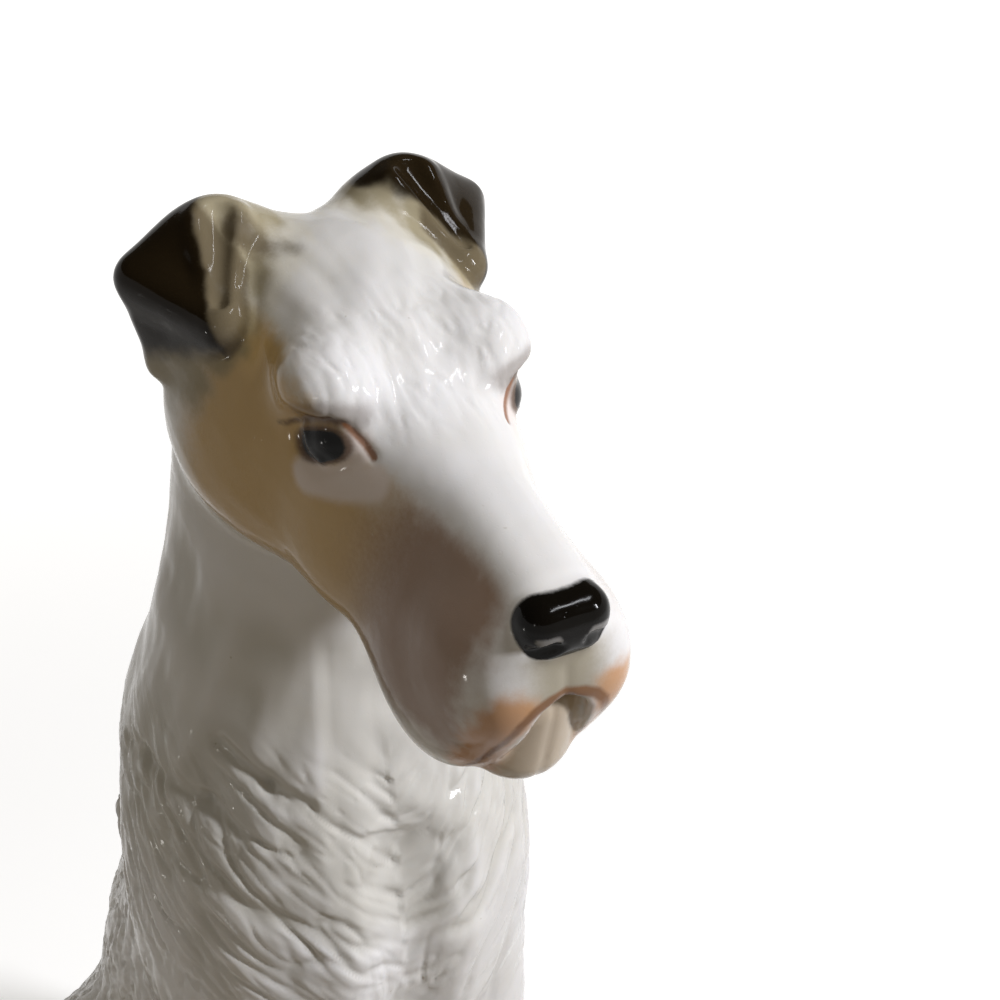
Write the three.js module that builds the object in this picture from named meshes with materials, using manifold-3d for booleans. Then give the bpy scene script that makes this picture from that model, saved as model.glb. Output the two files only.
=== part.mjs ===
// Seated wire-haired terrier, a hollow slip-cast porcelain ornament.
// Millimetres, +Z up, the dog looks towards -Y and its left side is +X.
// Each casting is a smooth solid described by a field that is negative inside the clay.
// The field is turned into a closed mesh, hollowed, and cut where two castings are luted together.

import * as THREE from "three";
import Module from "manifold-3d";

// Driving dimensions

const WALL = 3.5;
const LUTE_GAP = 0.3;
const VENT_RADIUS = 5;

const HEAD_HEIGHT = 166;
const HEAD_FORWARD = 20;
const HEAD_NOD_DEGREES = 8;
const MUZZLE_LENGTH = 36.6;
const SKULL_LENGTH = 22.5;
const EYE_SIZE = 2.6;
const EYE_SPACING = 17.2;
const NOSE_WIDTH = 8.8;
const NOSE_RADIUS = 2.4;
const MOUTH_WIDTH = 8.4;
const EAR_THICKNESS = 3.8;

const NECK_RADIUS = 14.8;
const SHOULDER_RADIUS = 19.8;
const SHOULDER_HEIGHT = 118;
const CHEST_DEPTH = 48;
const RUMP_WIDTH = 48;
const RUMP_BACK = 30;
const THIGH_WIDTH = 24;
const SEAM_BELOW_HEAD = 11;
const SEAM_SLOPE = 0.55;

const ELBOW_HEIGHT = 82;
const ANKLE_RADIUS = 6.9;
const FORELEG_SPACING = 25.6;
const FOREPAW_LENGTH = 22;
const HIND_FOOT_SPACING = 54;
const HIND_FOOT_LENGTH = 37;
const TAIL_LENGTH = 33;
const TAIL_RADIUS = 6.6;

// Mesh fineness, the side of a sampling cell for each casting

const TORSO_CELL = 5.2;
const HEAD_CELL = 1.85;
const EAR_CELL = 1.8;
const FORELEG_CELL = 3.6;
const HIND_FOOT_CELL = 3.3;
const TAIL_CELL = 3.2;
const TORSO_HOLLOW_CELL = 9;
const HEAD_HOLLOW_CELL = 5.5;
const VENT_SIDES = 32;
const EVENING_PASSES = 3;
const EVENING = 0.6;

const { abs, min, max, hypot, sqrt, cos, sin, sign, ceil, floor } = Math;

// Field shapes, all negative inside

function blend(a, b, radius) {
  const h = max(radius - abs(a - b), 0) / radius;
  return min(a, b) - h * h * radius * 0.25;
}

function carve(solid, tool, radius) {
  return -blend(-solid, tool, radius);
}

function ellipsoid(p, centre, radii) {
  const x = p[0] - centre[0];
  const y = p[1] - centre[1];
  const z = p[2] - centre[2];
  const k0 = hypot(x / radii[0], y / radii[1], z / radii[2]);
  const k1 = hypot(x / radii[0] ** 2, y / radii[1] ** 2, z / radii[2] ** 2);
  return k1 < 1e-9 ? -min(...radii) : k0 * (k0 - 1) / k1;
}

function limb(p, from, to, fromRadius, toRadius) {
  const axis = subtract(to, from);
  const rel = subtract(p, from);
  const t = min(1, max(0, dot(rel, axis) / dot(axis, axis)));
  return distance(rel, axis, t) - (fromRadius + (toRadius - fromRadius) * t);
}

function flap(p, a, b, c, thickness) {
  const sides = [[a, b], [b, c], [c, a]];
  const normal = cross(subtract(b, a), subtract(a, c));
  let inside = 0;
  let edge = Infinity;
  for (const [from, to] of sides) {
    const axis = subtract(to, from);
    const rel = subtract(p, from);
    inside += sign(dot(cross(axis, normal), rel));
    edge = min(edge, distance(rel, axis, min(1, max(0, dot(rel, axis) / dot(axis, axis)))));
  }
  const face = abs(dot(normal, subtract(p, a))) / sqrt(dot(normal, normal));
  return (inside < 2 ? edge : face) - thickness / 2;
}

function subtract(p, q) {
  return [p[0] - q[0], p[1] - q[1], p[2] - q[2]];
}

function dot(p, q) {
  return p[0] * q[0] + p[1] * q[1] + p[2] * q[2];
}

function cross(p, q) {
  return [p[1] * q[2] - p[2] * q[1], p[2] * q[0] - p[0] * q[2], p[0] * q[1] - p[1] * q[0]];
}

function distance(rel, axis, t) {
  return hypot(rel[0] - axis[0] * t, rel[1] - axis[1] * t, rel[2] - axis[2] * t);
}

// A smooth curve through [position, value] stations, flat beyond both ends

function curve(stations) {
  const at = stations.map((station) => station[0]);
  const value = stations.map((station) => station[1]);
  const last = at.length - 1;
  const slope = value.map((_, i) => {
    const before = max(0, i - 1);
    const after = min(last, i + 1);
    return (value[after] - value[before]) / (at[after] - at[before]);
  });
  return (x) => {
    if (x <= at[0]) return value[0];
    if (x >= at[last]) return value[last];
    let i = 0;
    while (x > at[i + 1]) i++;
    const step = at[i + 1] - at[i];
    const s = (x - at[i]) / step;
    const rise = s * s * (3 - 2 * s);
    const leave = s * (1 - s) * (1 - s) * step * slope[i];
    const arrive = s * s * (s - 1) * step * slope[i + 1];
    return value[i] * (1 - rise) + value[i + 1] * rise + leave + arrive;
  };
}

// The head has its own frame: side, forward along the muzzle, up through the skull

const NOD = HEAD_NOD_DEGREES * Math.PI / 180;

function inHead(p) {
  const y = p[1] + HEAD_FORWARD;
  const z = p[2] - HEAD_HEIGHT;
  return [p[0], -cos(NOD) * y - sin(NOD) * z, cos(NOD) * z - sin(NOD) * y];
}

// Skull and muzzle as one loft: crown line, jaw line, half width, squareness, narrowing to the top

const CROWN = curve([[-23, 5], [-20, 11.4], [-14, 15.0], [-6, 15.7], [2, 14.5], [8, 11.8], [13, 9.8],
  [18, 9.0], [24, 8.6], [30, 8.0], [38, 6.6]]);
const JAW = curve([[-23, -9], [-19, -13.2], [-12, -16.4], [-3, -16.8], [5, -16.2], [11, -15.4],
  [17, -14.6], [24, -14], [38, -14]]);
const CHEEK = curve([[-23, 11], [-19, 14.2], [-12, 15.6], [-3, 14.4], [4, 12.2], [9, 11.1], [14, 9.5],
  [20, 7.7], [28, 7.2], [38, 7.2]]);
const SQUARENESS = curve([[-20, 2.2], [0, 2.3], [12, 2.5], [36, 2.6]]);
const NARROWING = curve([[-20, 0.08], [0, 0.12], [12, 0.16], [36, 0.2]]);

function skullAndMuzzle([side, forward, up]) {
  const crown = CROWN(forward);
  const jaw = JAW(forward);
  const height = (crown - jaw) / 2;
  const level = (up - (crown + jaw) / 2) / height;
  const half = CHEEK(forward);
  const width = half * (1 - NARROWING(forward) * min(1, max(-1, level)));
  const power = SQUARENESS(forward);
  const ring = (abs(side / width) ** power + abs(level) ** power) ** (1 / power);
  const front = forward - MUZZLE_LENGTH + 0.08 * (7 - up) + 0.012 * side * side;
  const loft = carve((ring - 1) * min(half, height), -front, 4.5);
  return carve(loft, SKULL_LENGTH + forward, 10);
}

function headField(p) {
  const [side, forward, up] = inHead(p);
  const mid = [side, forward, up];
  const q = [sqrt(side * side + 0.3), forward, up];
  let clay = skullAndMuzzle(mid);
  clay = blend(clay, ellipsoid(q, [7, -10, -5.6], [8.3, 11, 9.7]), 5);
  clay = blend(clay, ellipsoid(q, [8.0, 4.2, 10.0], [4.3, 5.6, 4.1]), 3.5);
  clay = blend(clay, ellipsoid(q, [7.6, -17.2, 10.6], [5.0, 4.6, 4.6]), 4);
  clay = beardAndLips(clay, mid, q);
  clay = eyes(clay, q);
  return nose(clay, q);
}

// Beard beside the jaw, upper lips, the open arch of the mouth and the chin that fills it

function beardAndLips(clay, mid, q) {
  const end = MUZZLE_LENGTH;
  const arch = MOUTH_WIDTH / 2;
  clay = blend(clay, ellipsoid(q, [4.4, end - 14.1, -9.8], [5.2, 9.6, 10.2]), 3.5);
  const lips = [-4, 4].map((place) => ellipsoid(mid, [place, end - 6.8, -3.6], [4.8, 6.9, 6.4]));
  clay = blend(clay, blend(...lips, 6), 3);
  clay = carve(clay, limb(mid, [0, end - 1.5, -6.0], [0, end - 3.5, -18], arch * 0.68, arch * 0.95), 0.8);
  return blend(clay, limb(mid, [0, end - 5.8, -7.2], [0, end - 7.2, -13], arch + 0.5, arch + 1.1), 0.6);
}

function eyes(clay, q) {
  const out = EYE_SPACING / 2;
  const socket = [EYE_SIZE, EYE_SIZE * 1.6, EYE_SIZE];
  const ball = [EYE_SIZE, EYE_SIZE * 1.2, EYE_SIZE];
  clay = carve(clay, ellipsoid(q, [out + 3.2, 8.6, 6.2], socket), 2.2);
  return blend(clay, ellipsoid(q, [out - 0.6, 6.9, 6.1], ball), 1.2);
}

function nose(clay, q) {
  const end = MUZZLE_LENGTH;
  const half = NOSE_WIDTH / 2;
  const reach = half - NOSE_RADIUS;
  const middle = end - 1.7;
  const top = limb(q, [-reach, middle, 4.6], [reach, middle, 4.6], NOSE_RADIUS, NOSE_RADIUS);
  const low = limb(q, [-reach * 0.7, middle, 3.3], [reach * 0.7, middle, 3.3], NOSE_RADIUS, NOSE_RADIUS);
  const nostril = limb(q, [half * 0.45, end + 0.9, 3.3], [half * 0.85, end - 0.1, 2.5], 0.8, 0.6);
  return carve(blend(clay, blend(top, low, 1.0), 0.8), nostril, 0.5);
}

// Each ear stands up from the skull, folds over and drops its flap beside the cheek

const EAR_ROOT = [10.0, -16.5, 13.9];
const EAR_BEND = [17.1, -17.8, 9.5];
const EAR_FRONT = [12.4, -8.5, 9.0];
const EAR_BACK = [15.0, -16.0, 0.6];
const EAR_TIP = [12.7, -10.5, 0.3];
const EAR_INNER_EDGE = [[8.0, -15.4, 15.6], [12.2, -8.3, 10.2]];
const EAR_FRONT_EDGE = [[11.8, -16.4, 15.0], [13.0, -8.9, 9.2]];
const EAR_POCKET = [[10.1, -15.2, 17.4], [12.7, -8.6, 11.6]];

function earField(p) {
  const [side, forward, up] = inHead(p);
  const q = [abs(side), forward, up];
  let clay = blend(flap(q, EAR_ROOT, EAR_BEND, EAR_FRONT, EAR_THICKNESS),
    flap(q, EAR_BEND, EAR_BACK, EAR_FRONT, EAR_THICKNESS), 2);
  clay = blend(clay, flap(q, EAR_FRONT, EAR_BACK, EAR_TIP, EAR_THICKNESS * 0.9), 2);
  clay = blend(clay, ellipsoid(q, [11, -18, 8], [6, 4.2, 7.5]), 3);
  clay = blend(clay, ellipsoid(q, [9.0, -16.4, 12.8], [4.2, 3.6, 3.8]), 2.5);
  clay = blend(clay, limb(q, ...EAR_INNER_EDGE, 1.2, 1.0), 1.0);
  clay = blend(clay, limb(q, ...EAR_FRONT_EDGE, 1.2, 0.9), 1.0);
  return carve(clay, limb(q, ...EAR_POCKET, 1.7, 0.6), 0.8);
}

// Neck, chest, ribs, loin, rump, shoulders, upper arms and thighs make the one large casting

const NECK_TOP = [0, 16 - HEAD_FORWARD, HEAD_HEIGHT - 13];

function torsoField(p) {
  const q = [sqrt(p[0] * p[0] + 0.5), p[1], p[2]];
  const chest = CHEST_DEPTH / 2;
  const rump = RUMP_WIDTH / 2;
  const low = SHOULDER_HEIGHT;
  let clay = limb(p, NECK_TOP, [0, 1.5, low], NECK_RADIUS, SHOULDER_RADIUS);
  clay = blend(clay, ellipsoid(p, [0, chest - 25.5, low - 19], [19.5, chest, 29]), 14);
  clay = blend(clay, ellipsoid(p, [0, 12, low - 44], [18.8, chest + 1, 32]), 14);
  clay = blend(clay, ellipsoid(p, [0, 24, 50], [20, 23, 32]), 14);
  clay = blend(clay, ellipsoid(p, [0, RUMP_BACK, 25], [rump, 26, 30]), 14);
  clay = blend(clay, ellipsoid(q, [FORELEG_SPACING / 2 + 0.2, -3, low - 21], [9.0, 14, 21]), 7);
  clay = blend(clay, thigh(q), 6);
  return carve(clay, limb(p, [0, -25, low - 6], [0, -27, low - 48], 2.2, 6.5), 6);
}

function thigh(q) {
  const out = RUMP_WIDTH / 2 - 3.5;
  const hock = [HIND_FOOT_SPACING / 2 - 1.5, 28, 11];
  const haunch = ellipsoid(q, [out, 22, 32], [THIGH_WIDTH / 2, 24, 25]);
  return blend(haunch, limb(q, [out + 0.5, 6, 33], hock, 10.5, 8.5), 7);
}

// A foreleg is a column whose depth and place follow the height, standing in a long paw

const LEG_CENTRE = curve([[0, -14], [14, -13.4], [44, -11.2], [62, -9.4], [78, -7], [100, -5]]);
const LEG_FLARE = curve([[0, 0.9], [10, 0.3], [26, 0], [44, 0.2], [60, 0.8], [78, 2.0], [100, 2.4]]);

function forelegField(p) {
  const x = abs(p[0]) - FORELEG_SPACING / 2;
  const y = p[1] - LEG_CENTRE(p[2]);
  const paw = FOREPAW_LENGTH / 2;
  const width = ANKLE_RADIUS + LEG_FLARE(p[2]);
  const depth = width * 1.1;
  const column = (hypot(x / width, y / depth) - 1) * width;
  const leg = carve(column, ELBOW_HEIGHT + 10 - p[2], 8);
  return blend(leg, ellipsoid([x, p[1], p[2]], [0.2, -7 - paw, 6.0], [8.6, paw, 7.0]), 6);
}

function hindFootField(p) {
  const q = [abs(p[0]) - HIND_FOOT_SPACING / 2, p[1], p[2]];
  const toe = 28 - HIND_FOOT_LENGTH;
  const shank = limb(q, [-2, 26, 8], [0, toe + 12, 6.2], 8.4, 7.0);
  return blend(shank, ellipsoid(q, [0.3, toe + 10.5, 5.8], [8.4, 10.5, 7.0]), 4);
}

function tailField(p) {
  const root = [0, 50, 26];
  const tip = [0, root[1] + TAIL_LENGTH * 0.5, root[2] + TAIL_LENGTH * 0.85];
  return limb(p, root, tip, TAIL_RADIUS, TAIL_RADIUS - 2.2);
}

// Closed surface of a field over a grid of cells: one vertex for each cell the surface crosses

const CORNER = Array.from({ length: 8 }, (_, c) => [c & 1, (c >> 1) & 1, (c >> 2) & 1]);
const EDGES = CORNER.flatMap((_, c) => [1, 2, 4].filter((bit) => !(c & bit)).map((bit) => [c, c | bit]));
const SIMPLE_CELL = Array.from({ length: 256 }, (_, mask) => {
  return oneGroup((corner) => (mask >> corner) & 1) && oneGroup((corner) => !((mask >> corner) & 1));
});

function oneGroup(member) {
  const members = CORNER.map((_, corner) => corner).filter((corner) => member(corner));
  const reached = new Set(members.slice(0, 1));
  for (let pass = 0; pass < 8; pass++) {
    for (const [a, b] of EDGES) {
      if (!member(a) || !member(b)) continue;
      if (reached.has(a) || reached.has(b)) {
        reached.add(a);
        reached.add(b);
      }
    }
  }
  return reached.size === members.length;
}

function surface(shape, [near, far], cell) {
  const field = (p) => max(shape(p), outsideBox(p, near, far));
  const low = near.map((v) => (floor(v / cell) - 1) * cell);
  const count = low.map((v, i) => ceil((far[i] - v) / cell) + 2);
  const stride = [1, count[0], count[0] * count[1]];
  const offset = CORNER.map((c) => dot(c, stride));
  const value = sampleGrid(field, low, count, cell);
  const cells = gridCells(count, stride);
  const maskOf = (base) => offset.reduce((mask, o, c) => mask | ((value[base + o] < 0 ? 1 : 0) << c), 0);
  mendDoubleCells(value, cells, offset, maskOf, cell);
  const vertexOf = new Int32Array(value.length).fill(-1);
  const points = [];
  for (const [base, i, j, k] of cells) {
    const mask = maskOf(base);
    if (mask === 0 || mask === 255) continue;
    const sum = [0, 0, 0];
    let crossings = 0;
    for (const [a, b] of EDGES) {
      const va = value[base + offset[a]];
      const vb = value[base + offset[b]];
      if ((va < 0) === (vb < 0)) continue;
      const t = va / (va - vb);
      for (let axis = 0; axis < 3; axis++) sum[axis] += CORNER[a][axis] * (1 - t) + CORNER[b][axis] * t;
      crossings++;
    }
    vertexOf[base] = points.length;
    const place = [i, j, k].map((n, axis) => low[axis] + (n + sum[axis] / crossings) * cell);
    points.push(settle(field, place, cell));
  }
  const rings = gridRings(value, vertexOf, count, stride);
  for (let pass = 0; pass < EVENING_PASSES; pass++) evenOut(points, rings, field, cell);
  return { points, triangles: rings.flatMap((ring) => splitRing(ring, points)) };
}

function outsideBox(p, near, far) {
  return max(near[0] - p[0], p[0] - far[0], near[1] - p[1], p[1] - far[1], near[2] - p[2], p[2] - far[2]);
}

function sampleGrid(field, low, count, cell) {
  const value = new Float64Array(count[0] * count[1] * count[2]);
  let n = 0;
  for (let k = 0; k < count[2]; k++) {
    for (let j = 0; j < count[1]; j++) {
      for (let i = 0; i < count[0]; i++) {
        value[n++] = field([low[0] + i * cell, low[1] + j * cell, low[2] + k * cell]);
      }
    }
  }
  return value;
}

function gridCells(count, stride) {
  const cells = [];
  for (let k = 0; k < count[2] - 1; k++) {
    for (let j = 0; j < count[1] - 1; j++) {
      for (let i = 0; i < count[0] - 1; i++) cells.push([dot([i, j, k], stride), i, j, k]);
    }
  }
  return cells;
}

// A cell crossed by two sheets would pinch the mesh, so its nearest outside corner is filled

function mendDoubleCells(value, cells, offset, maskOf, cell) {
  let changed = true;
  while (changed) {
    changed = false;
    for (const [base] of cells) {
      if (SIMPLE_CELL[maskOf(base)]) continue;
      const outside = offset.map((o) => base + o).filter((n) => value[n] >= 0);
      const nearest = outside.reduce((best, n) => (value[n] < value[best] ? n : best));
      value[nearest] = -0.001 * cell;
      changed = true;
    }
  }
}

// A vertex slides along the slope of the field until it lies on the surface

function settle(field, start, cell) {
  const p = [...start];
  for (let pass = 0; pass < 4; pass++) {
    const slope = slopeAt(field, p);
    const steep = dot(slope, slope) + 1e-9;
    const reach = 0.45 * cell / sqrt(steep);
    const move = min(reach, max(-reach, field(p) / steep));
    for (let axis = 0; axis < 3; axis++) p[axis] -= move * slope[axis];
  }
  const travelled = hypot(...subtract(p, start));
  return travelled > 0.9 * cell ? start : p;
}

function slopeAt(field, p) {
  const step = 0.05;
  return [0, 1, 2].map((axis) => {
    const ahead = [...p];
    const behind = [...p];
    ahead[axis] += step;
    behind[axis] -= step;
    return (field(ahead) - field(behind)) / (2 * step);
  });
}

// Every vertex moves towards the middle of its neighbours and back onto the surface

function evenOut(points, rings, field, cell) {
  const sum = points.map(() => [0, 0, 0, 0]);
  for (const ring of rings) {
    ring.forEach((n, corner) => {
      const next = points[ring[(corner + 1) % 4]];
      for (let axis = 0; axis < 3; axis++) sum[n][axis] += next[axis];
      sum[n][3]++;
    });
  }
  points.forEach((point, n) => {
    const target = point.map((v, axis) => v * (1 - EVENING) + EVENING * sum[n][axis] / sum[n][3]);
    points[n] = settle(field, target, cell);
  });
}

function gridRings(value, vertexOf, count, stride) {
  const rings = [];
  for (let k = 1; k < count[2] - 1; k++) {
    for (let j = 1; j < count[1] - 1; j++) {
      for (let i = 1; i < count[0] - 1; i++) {
        const n = dot([i, j, k], stride);
        for (let axis = 0; axis < 3; axis++) {
          const inside = value[n] < 0;
          if (inside === (value[n + stride[axis]] < 0)) continue;
          const u = stride[(axis + 1) % 3];
          const w = stride[(axis + 2) % 3];
          const ring = [n - u - w, n - w, n, n - u].map((at) => vertexOf[at]);
          if (!inside) ring.reverse();
          rings.push(ring);
        }
      }
    }
  }
  return rings;
}

function splitRing([a, b, c, d], points) {
  const across = subtract(points[a], points[c]);
  const other = subtract(points[b], points[d]);
  return dot(across, across) <= dot(other, other) ? [a, b, c, a, c, d] : [a, b, d, b, c, d];
}

// Solids that can be joined and cut

const wasm = await Module();
wasm.setup();

function solidFrom(points, triangles) {
  const vertProperties = new Float32Array(points.flatMap((point) => point));
  const triVerts = new Uint32Array(triangles);
  return new wasm.Manifold(new wasm.Mesh({ numProp: 3, vertProperties, triVerts }));
}

function skinSolid({ points, triangles }) {
  return solidFrom(points, triangles);
}

function cast(field, box, cell) {
  return skinSolid(surface(field, box, cell));
}

function grown({ points, triangles }, field, gap) {
  const moved = points.map((point) => {
    const slope = slopeAt(field, point);
    const step = gap / (sqrt(dot(slope, slope)) + 1e-9);
    return point.map((v, axis) => v + slope[axis] * step);
  });
  return solidFrom(moved, triangles);
}

function largest(solid) {
  return solid.decompose().reduce((best, piece) => (piece.volume() > best.volume() ? piece : best));
}

function halfSpaceAbove(level, tilt) {
  const geometry = new THREE.BoxGeometry(REACH, REACH, REACH);
  geometry.translate(0, 0, level + REACH / 2);
  geometry.rotateX(tilt);
  return solidFromGeometry(geometry);
}

function rod(radius, height, centre, sides) {
  const geometry = new THREE.CylinderGeometry(radius, radius, height, sides);
  geometry.rotateX(Math.PI / 2);
  geometry.translate(...centre);
  return solidFromGeometry(geometry);
}

function solidFromGeometry(geometry) {
  const place = geometry.getAttribute("position");
  const points = [];
  const known = new Map();
  const merged = [];
  for (let n = 0; n < place.count; n++) {
    const point = [place.getX(n), place.getY(n), place.getZ(n)];
    const key = point.map((v) => Math.round(v * 1e5) / 1e5 + 0).join();
    if (!known.has(key)) {
      known.set(key, points.length);
      points.push(point);
    }
    merged.push(known.get(key));
  }
  const triangles = [...geometry.index.array].map((n) => merged[n]);
  return solidFrom(points, triangles);
}

// The plane the figure stands on, and the tilted plane where head and neck are luted

const REACH = 400;
const aboveTable = halfSpaceAbove(0, 0);
const SEAM_TILT = Math.atan(SEAM_SLOPE);
const SEAM_HEIGHT = HEAD_HEIGHT - SEAM_BELOW_HEAD;

function aboveSeam(gap) {
  return halfSpaceAbove(SEAM_HEIGHT * cos(SEAM_TILT) + gap, SEAM_TILT);
}

// Boxes that hold each casting with room to spare

const EAR_BOX = [[3, -HEAD_FORWARD + 1, HEAD_HEIGHT - 14], [27, -HEAD_FORWARD + 34, HEAD_HEIGHT + 26]];
const HEAD_BOX = [[-28, -MUZZLE_LENGTH - HEAD_FORWARD - 10, HEAD_HEIGHT - 46], [28, 28, HEAD_HEIGHT + 26]];
const TORSO_BOX = [[-44, -36, -6], [44, 72, HEAD_HEIGHT + 12]];
const FORELEG_SIDE = FORELEG_SPACING / 2;
const HIND_FOOT_SIDE = HIND_FOOT_SPACING / 2;
const FORELEG_BOX = [[FORELEG_SIDE - 12.5, -FOREPAW_LENGTH - 12, -6], [FORELEG_SIDE + 13, 10, ELBOW_HEIGHT + 14]];
const HIND_FOOT_BOX = [[HIND_FOOT_SIDE - 14, 20 - HIND_FOOT_LENGTH, -6], [HIND_FOOT_SIDE + 12, 38, 24]];
const TAIL_BOX = [[-12, 38, 4], [12, 62 + TAIL_LENGTH, 36 + TAIL_LENGTH]];

const headAndNeck = (p) => blend(headField(p), torsoField(p), 1.6);

const torsoSkin = surface(torsoField, TORSO_BOX, TORSO_CELL);
const headSkin = surface(headAndNeck, HEAD_BOX, HEAD_CELL);

function makeTorso() {
  const outer = skinSolid(torsoSkin).intersect(aboveTable);
  const hollow = cast((p) => torsoField(p) + WALL, TORSO_BOX, TORSO_HOLLOW_CELL);
  const aboveFloor = halfSpaceAbove(WALL, 0);
  const vent = rod(VENT_RADIUS, WALL * 4, [0, RUMP_BACK, 0], VENT_SIDES);
  return largest(outer.subtract(hollow.intersect(aboveFloor)).subtract(vent).subtract(aboveSeam(0)));
}

function makeHead() {
  const outer = skinSolid(headSkin);
  const hollow = cast((p) => headAndNeck(p) + WALL, HEAD_BOX, HEAD_HOLLOW_CELL);
  return largest(outer.subtract(hollow).intersect(aboveSeam(LUTE_GAP)));
}

// Ears, legs, feet and tail are cut back by their neighbour, grown by the thickness of the slip

const headCutter = grown(headSkin, headAndNeck, LUTE_GAP).add(skinSolid(headSkin));
const torsoCutter = grown(torsoSkin, torsoField, LUTE_GAP).add(skinSolid(torsoSkin));

function fitted(solid, cutter) {
  return largest(solid.subtract(cutter).intersect(aboveTable));
}

function leftAndRight(solid, cutter) {
  return [fitted(solid, cutter), fitted(solid.mirror([1, 0, 0]), cutter)];
}

// Assembly

const figure = new THREE.Group();
figure.name = "porcelain_terrier";

function addPiece(name, solid, colour, roughness) {
  const mesh = solid.getMesh();
  const geometry = new THREE.BufferGeometry();
  const place = new Float32Array(mesh.numVert * 3);
  for (let n = 0; n < mesh.numVert; n++) {
    for (let axis = 0; axis < 3; axis++) place[n * 3 + axis] = mesh.vertProperties[n * mesh.numProp + axis];
  }
  geometry.setAttribute("position", new THREE.BufferAttribute(place, 3));
  geometry.setIndex(new THREE.BufferAttribute(new Uint32Array(mesh.triVerts), 1));
  geometry.computeVertexNormals();
  const material = new THREE.MeshStandardMaterial({ color: colour, roughness, metalness: 0 });
  const piece = new THREE.Mesh(geometry, material);
  piece.name = name;
  figure.add(piece);
}

const ears = leftAndRight(cast(earField, EAR_BOX, EAR_CELL), headCutter);
const forelegs = leftAndRight(cast(forelegField, FORELEG_BOX, FORELEG_CELL), torsoCutter);
const hindFeet = leftAndRight(cast(hindFootField, HIND_FOOT_BOX, HIND_FOOT_CELL), torsoCutter);
const tail = fitted(cast(tailField, TAIL_BOX, TAIL_CELL), torsoCutter);

addPiece("torso_casting", makeTorso(), "#ece9e2", 0.22);
addPiece("head_casting", makeHead(), "#efece5", 0.2);
addPiece("ear_left", ears[0], "#2b2418", 0.18);
addPiece("ear_right", ears[1], "#2d2619", 0.18);
addPiece("foreleg_left", forelegs[0], "#eae7e0", 0.22);
addPiece("foreleg_right", forelegs[1], "#ebe8e1", 0.22);
addPiece("hind_foot_left", hindFeet[0], "#e8e5de", 0.24);
addPiece("hind_foot_right", hindFeet[1], "#e9e6df", 0.24);
addPiece("tail", tail, "#edeae3", 0.22);

// The origin is the middle of the footprint, at table level

const extent = new THREE.Box3().setFromObject(figure);
const middle = extent.getCenter(new THREE.Vector3());
figure.children.forEach((piece) => piece.geometry.translate(-middle.x, -middle.y, -extent.min.z));

export default figure;
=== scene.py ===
"""Seated wire-haired terrier in glazed porcelain: dressed skin, paint, glaze, light and camera."""

import math

import bpy
import numpy as np
from mathutils import Matrix, Vector

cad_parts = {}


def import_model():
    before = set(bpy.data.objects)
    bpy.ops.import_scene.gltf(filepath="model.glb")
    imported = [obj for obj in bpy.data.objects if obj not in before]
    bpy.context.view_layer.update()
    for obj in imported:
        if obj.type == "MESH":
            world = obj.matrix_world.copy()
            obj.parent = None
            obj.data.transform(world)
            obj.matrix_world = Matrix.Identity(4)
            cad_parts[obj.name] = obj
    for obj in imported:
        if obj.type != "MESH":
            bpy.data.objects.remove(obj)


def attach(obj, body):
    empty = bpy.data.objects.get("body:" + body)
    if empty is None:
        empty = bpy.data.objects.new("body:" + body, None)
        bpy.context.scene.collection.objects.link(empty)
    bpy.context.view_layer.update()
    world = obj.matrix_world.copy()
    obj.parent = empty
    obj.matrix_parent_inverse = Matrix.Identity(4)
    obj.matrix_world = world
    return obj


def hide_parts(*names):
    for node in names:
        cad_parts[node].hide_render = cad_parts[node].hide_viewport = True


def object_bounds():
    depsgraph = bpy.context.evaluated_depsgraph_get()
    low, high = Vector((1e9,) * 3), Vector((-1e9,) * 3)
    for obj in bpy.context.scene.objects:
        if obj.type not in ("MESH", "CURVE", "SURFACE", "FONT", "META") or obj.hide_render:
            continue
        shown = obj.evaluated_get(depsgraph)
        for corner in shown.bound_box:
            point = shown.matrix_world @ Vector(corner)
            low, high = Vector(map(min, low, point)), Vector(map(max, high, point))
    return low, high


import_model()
cad_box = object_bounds()

MM = 0.001

# How far the solids were moved to centre them over the origin, in millimetres
FRAME_SHIFT = 6.5829

# How deep the vent goes in the dressed torso, in millimetres
VENT_DEPTH = 10.0

# Driving dimensions of the solids, repeated from the source, in millimetres and radians
VENT_RADIUS = 5.0
HEAD_HEIGHT = 166.0
HEAD_FORWARD = 20.0
NOD = math.radians(8)
MUZZLE_LENGTH = 36.6
SKULL_LENGTH = 22.5
EYE_SIZE = 2.6
EYE_SPACING = 17.2
NOSE_WIDTH = 8.8
NOSE_RADIUS = 2.4
MOUTH_WIDTH = 8.4
EAR_THICKNESS = 3.8
NECK_RADIUS = 14.8
SHOULDER_RADIUS = 19.8
SHOULDER_HEIGHT = 118.0
CHEST_DEPTH = 48.0
RUMP_WIDTH = 48.0
RUMP_BACK = 30.0
THIGH_WIDTH = 24.0
SEAM_BELOW_HEAD = 11.0
SEAM_SLOPE = 0.55
ELBOW_HEIGHT = 82.0
ANKLE_RADIUS = 6.9
FORELEG_SPACING = 25.6
FOREPAW_LENGTH = 22.0
HIND_FOOT_SPACING = 54.0
HIND_FOOT_LENGTH = 37.0
TAIL_LENGTH = 33.0
TAIL_RADIUS = 6.6

# Grid cell of the first, coarse skin, and the corners of the grid, in millimetres
CELL = 1.5
GRID_LOW = [-40, -66, -4]
GRID_HIGH = [40, 76, 192]


# Fields over many points at once, one row for each axis, negative inside the clay

def point(values):
    return np.array(values, float)[:, None]


def length(v):
    return np.sqrt(v[0] * v[0] + v[1] * v[1] + v[2] * v[2])


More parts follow.
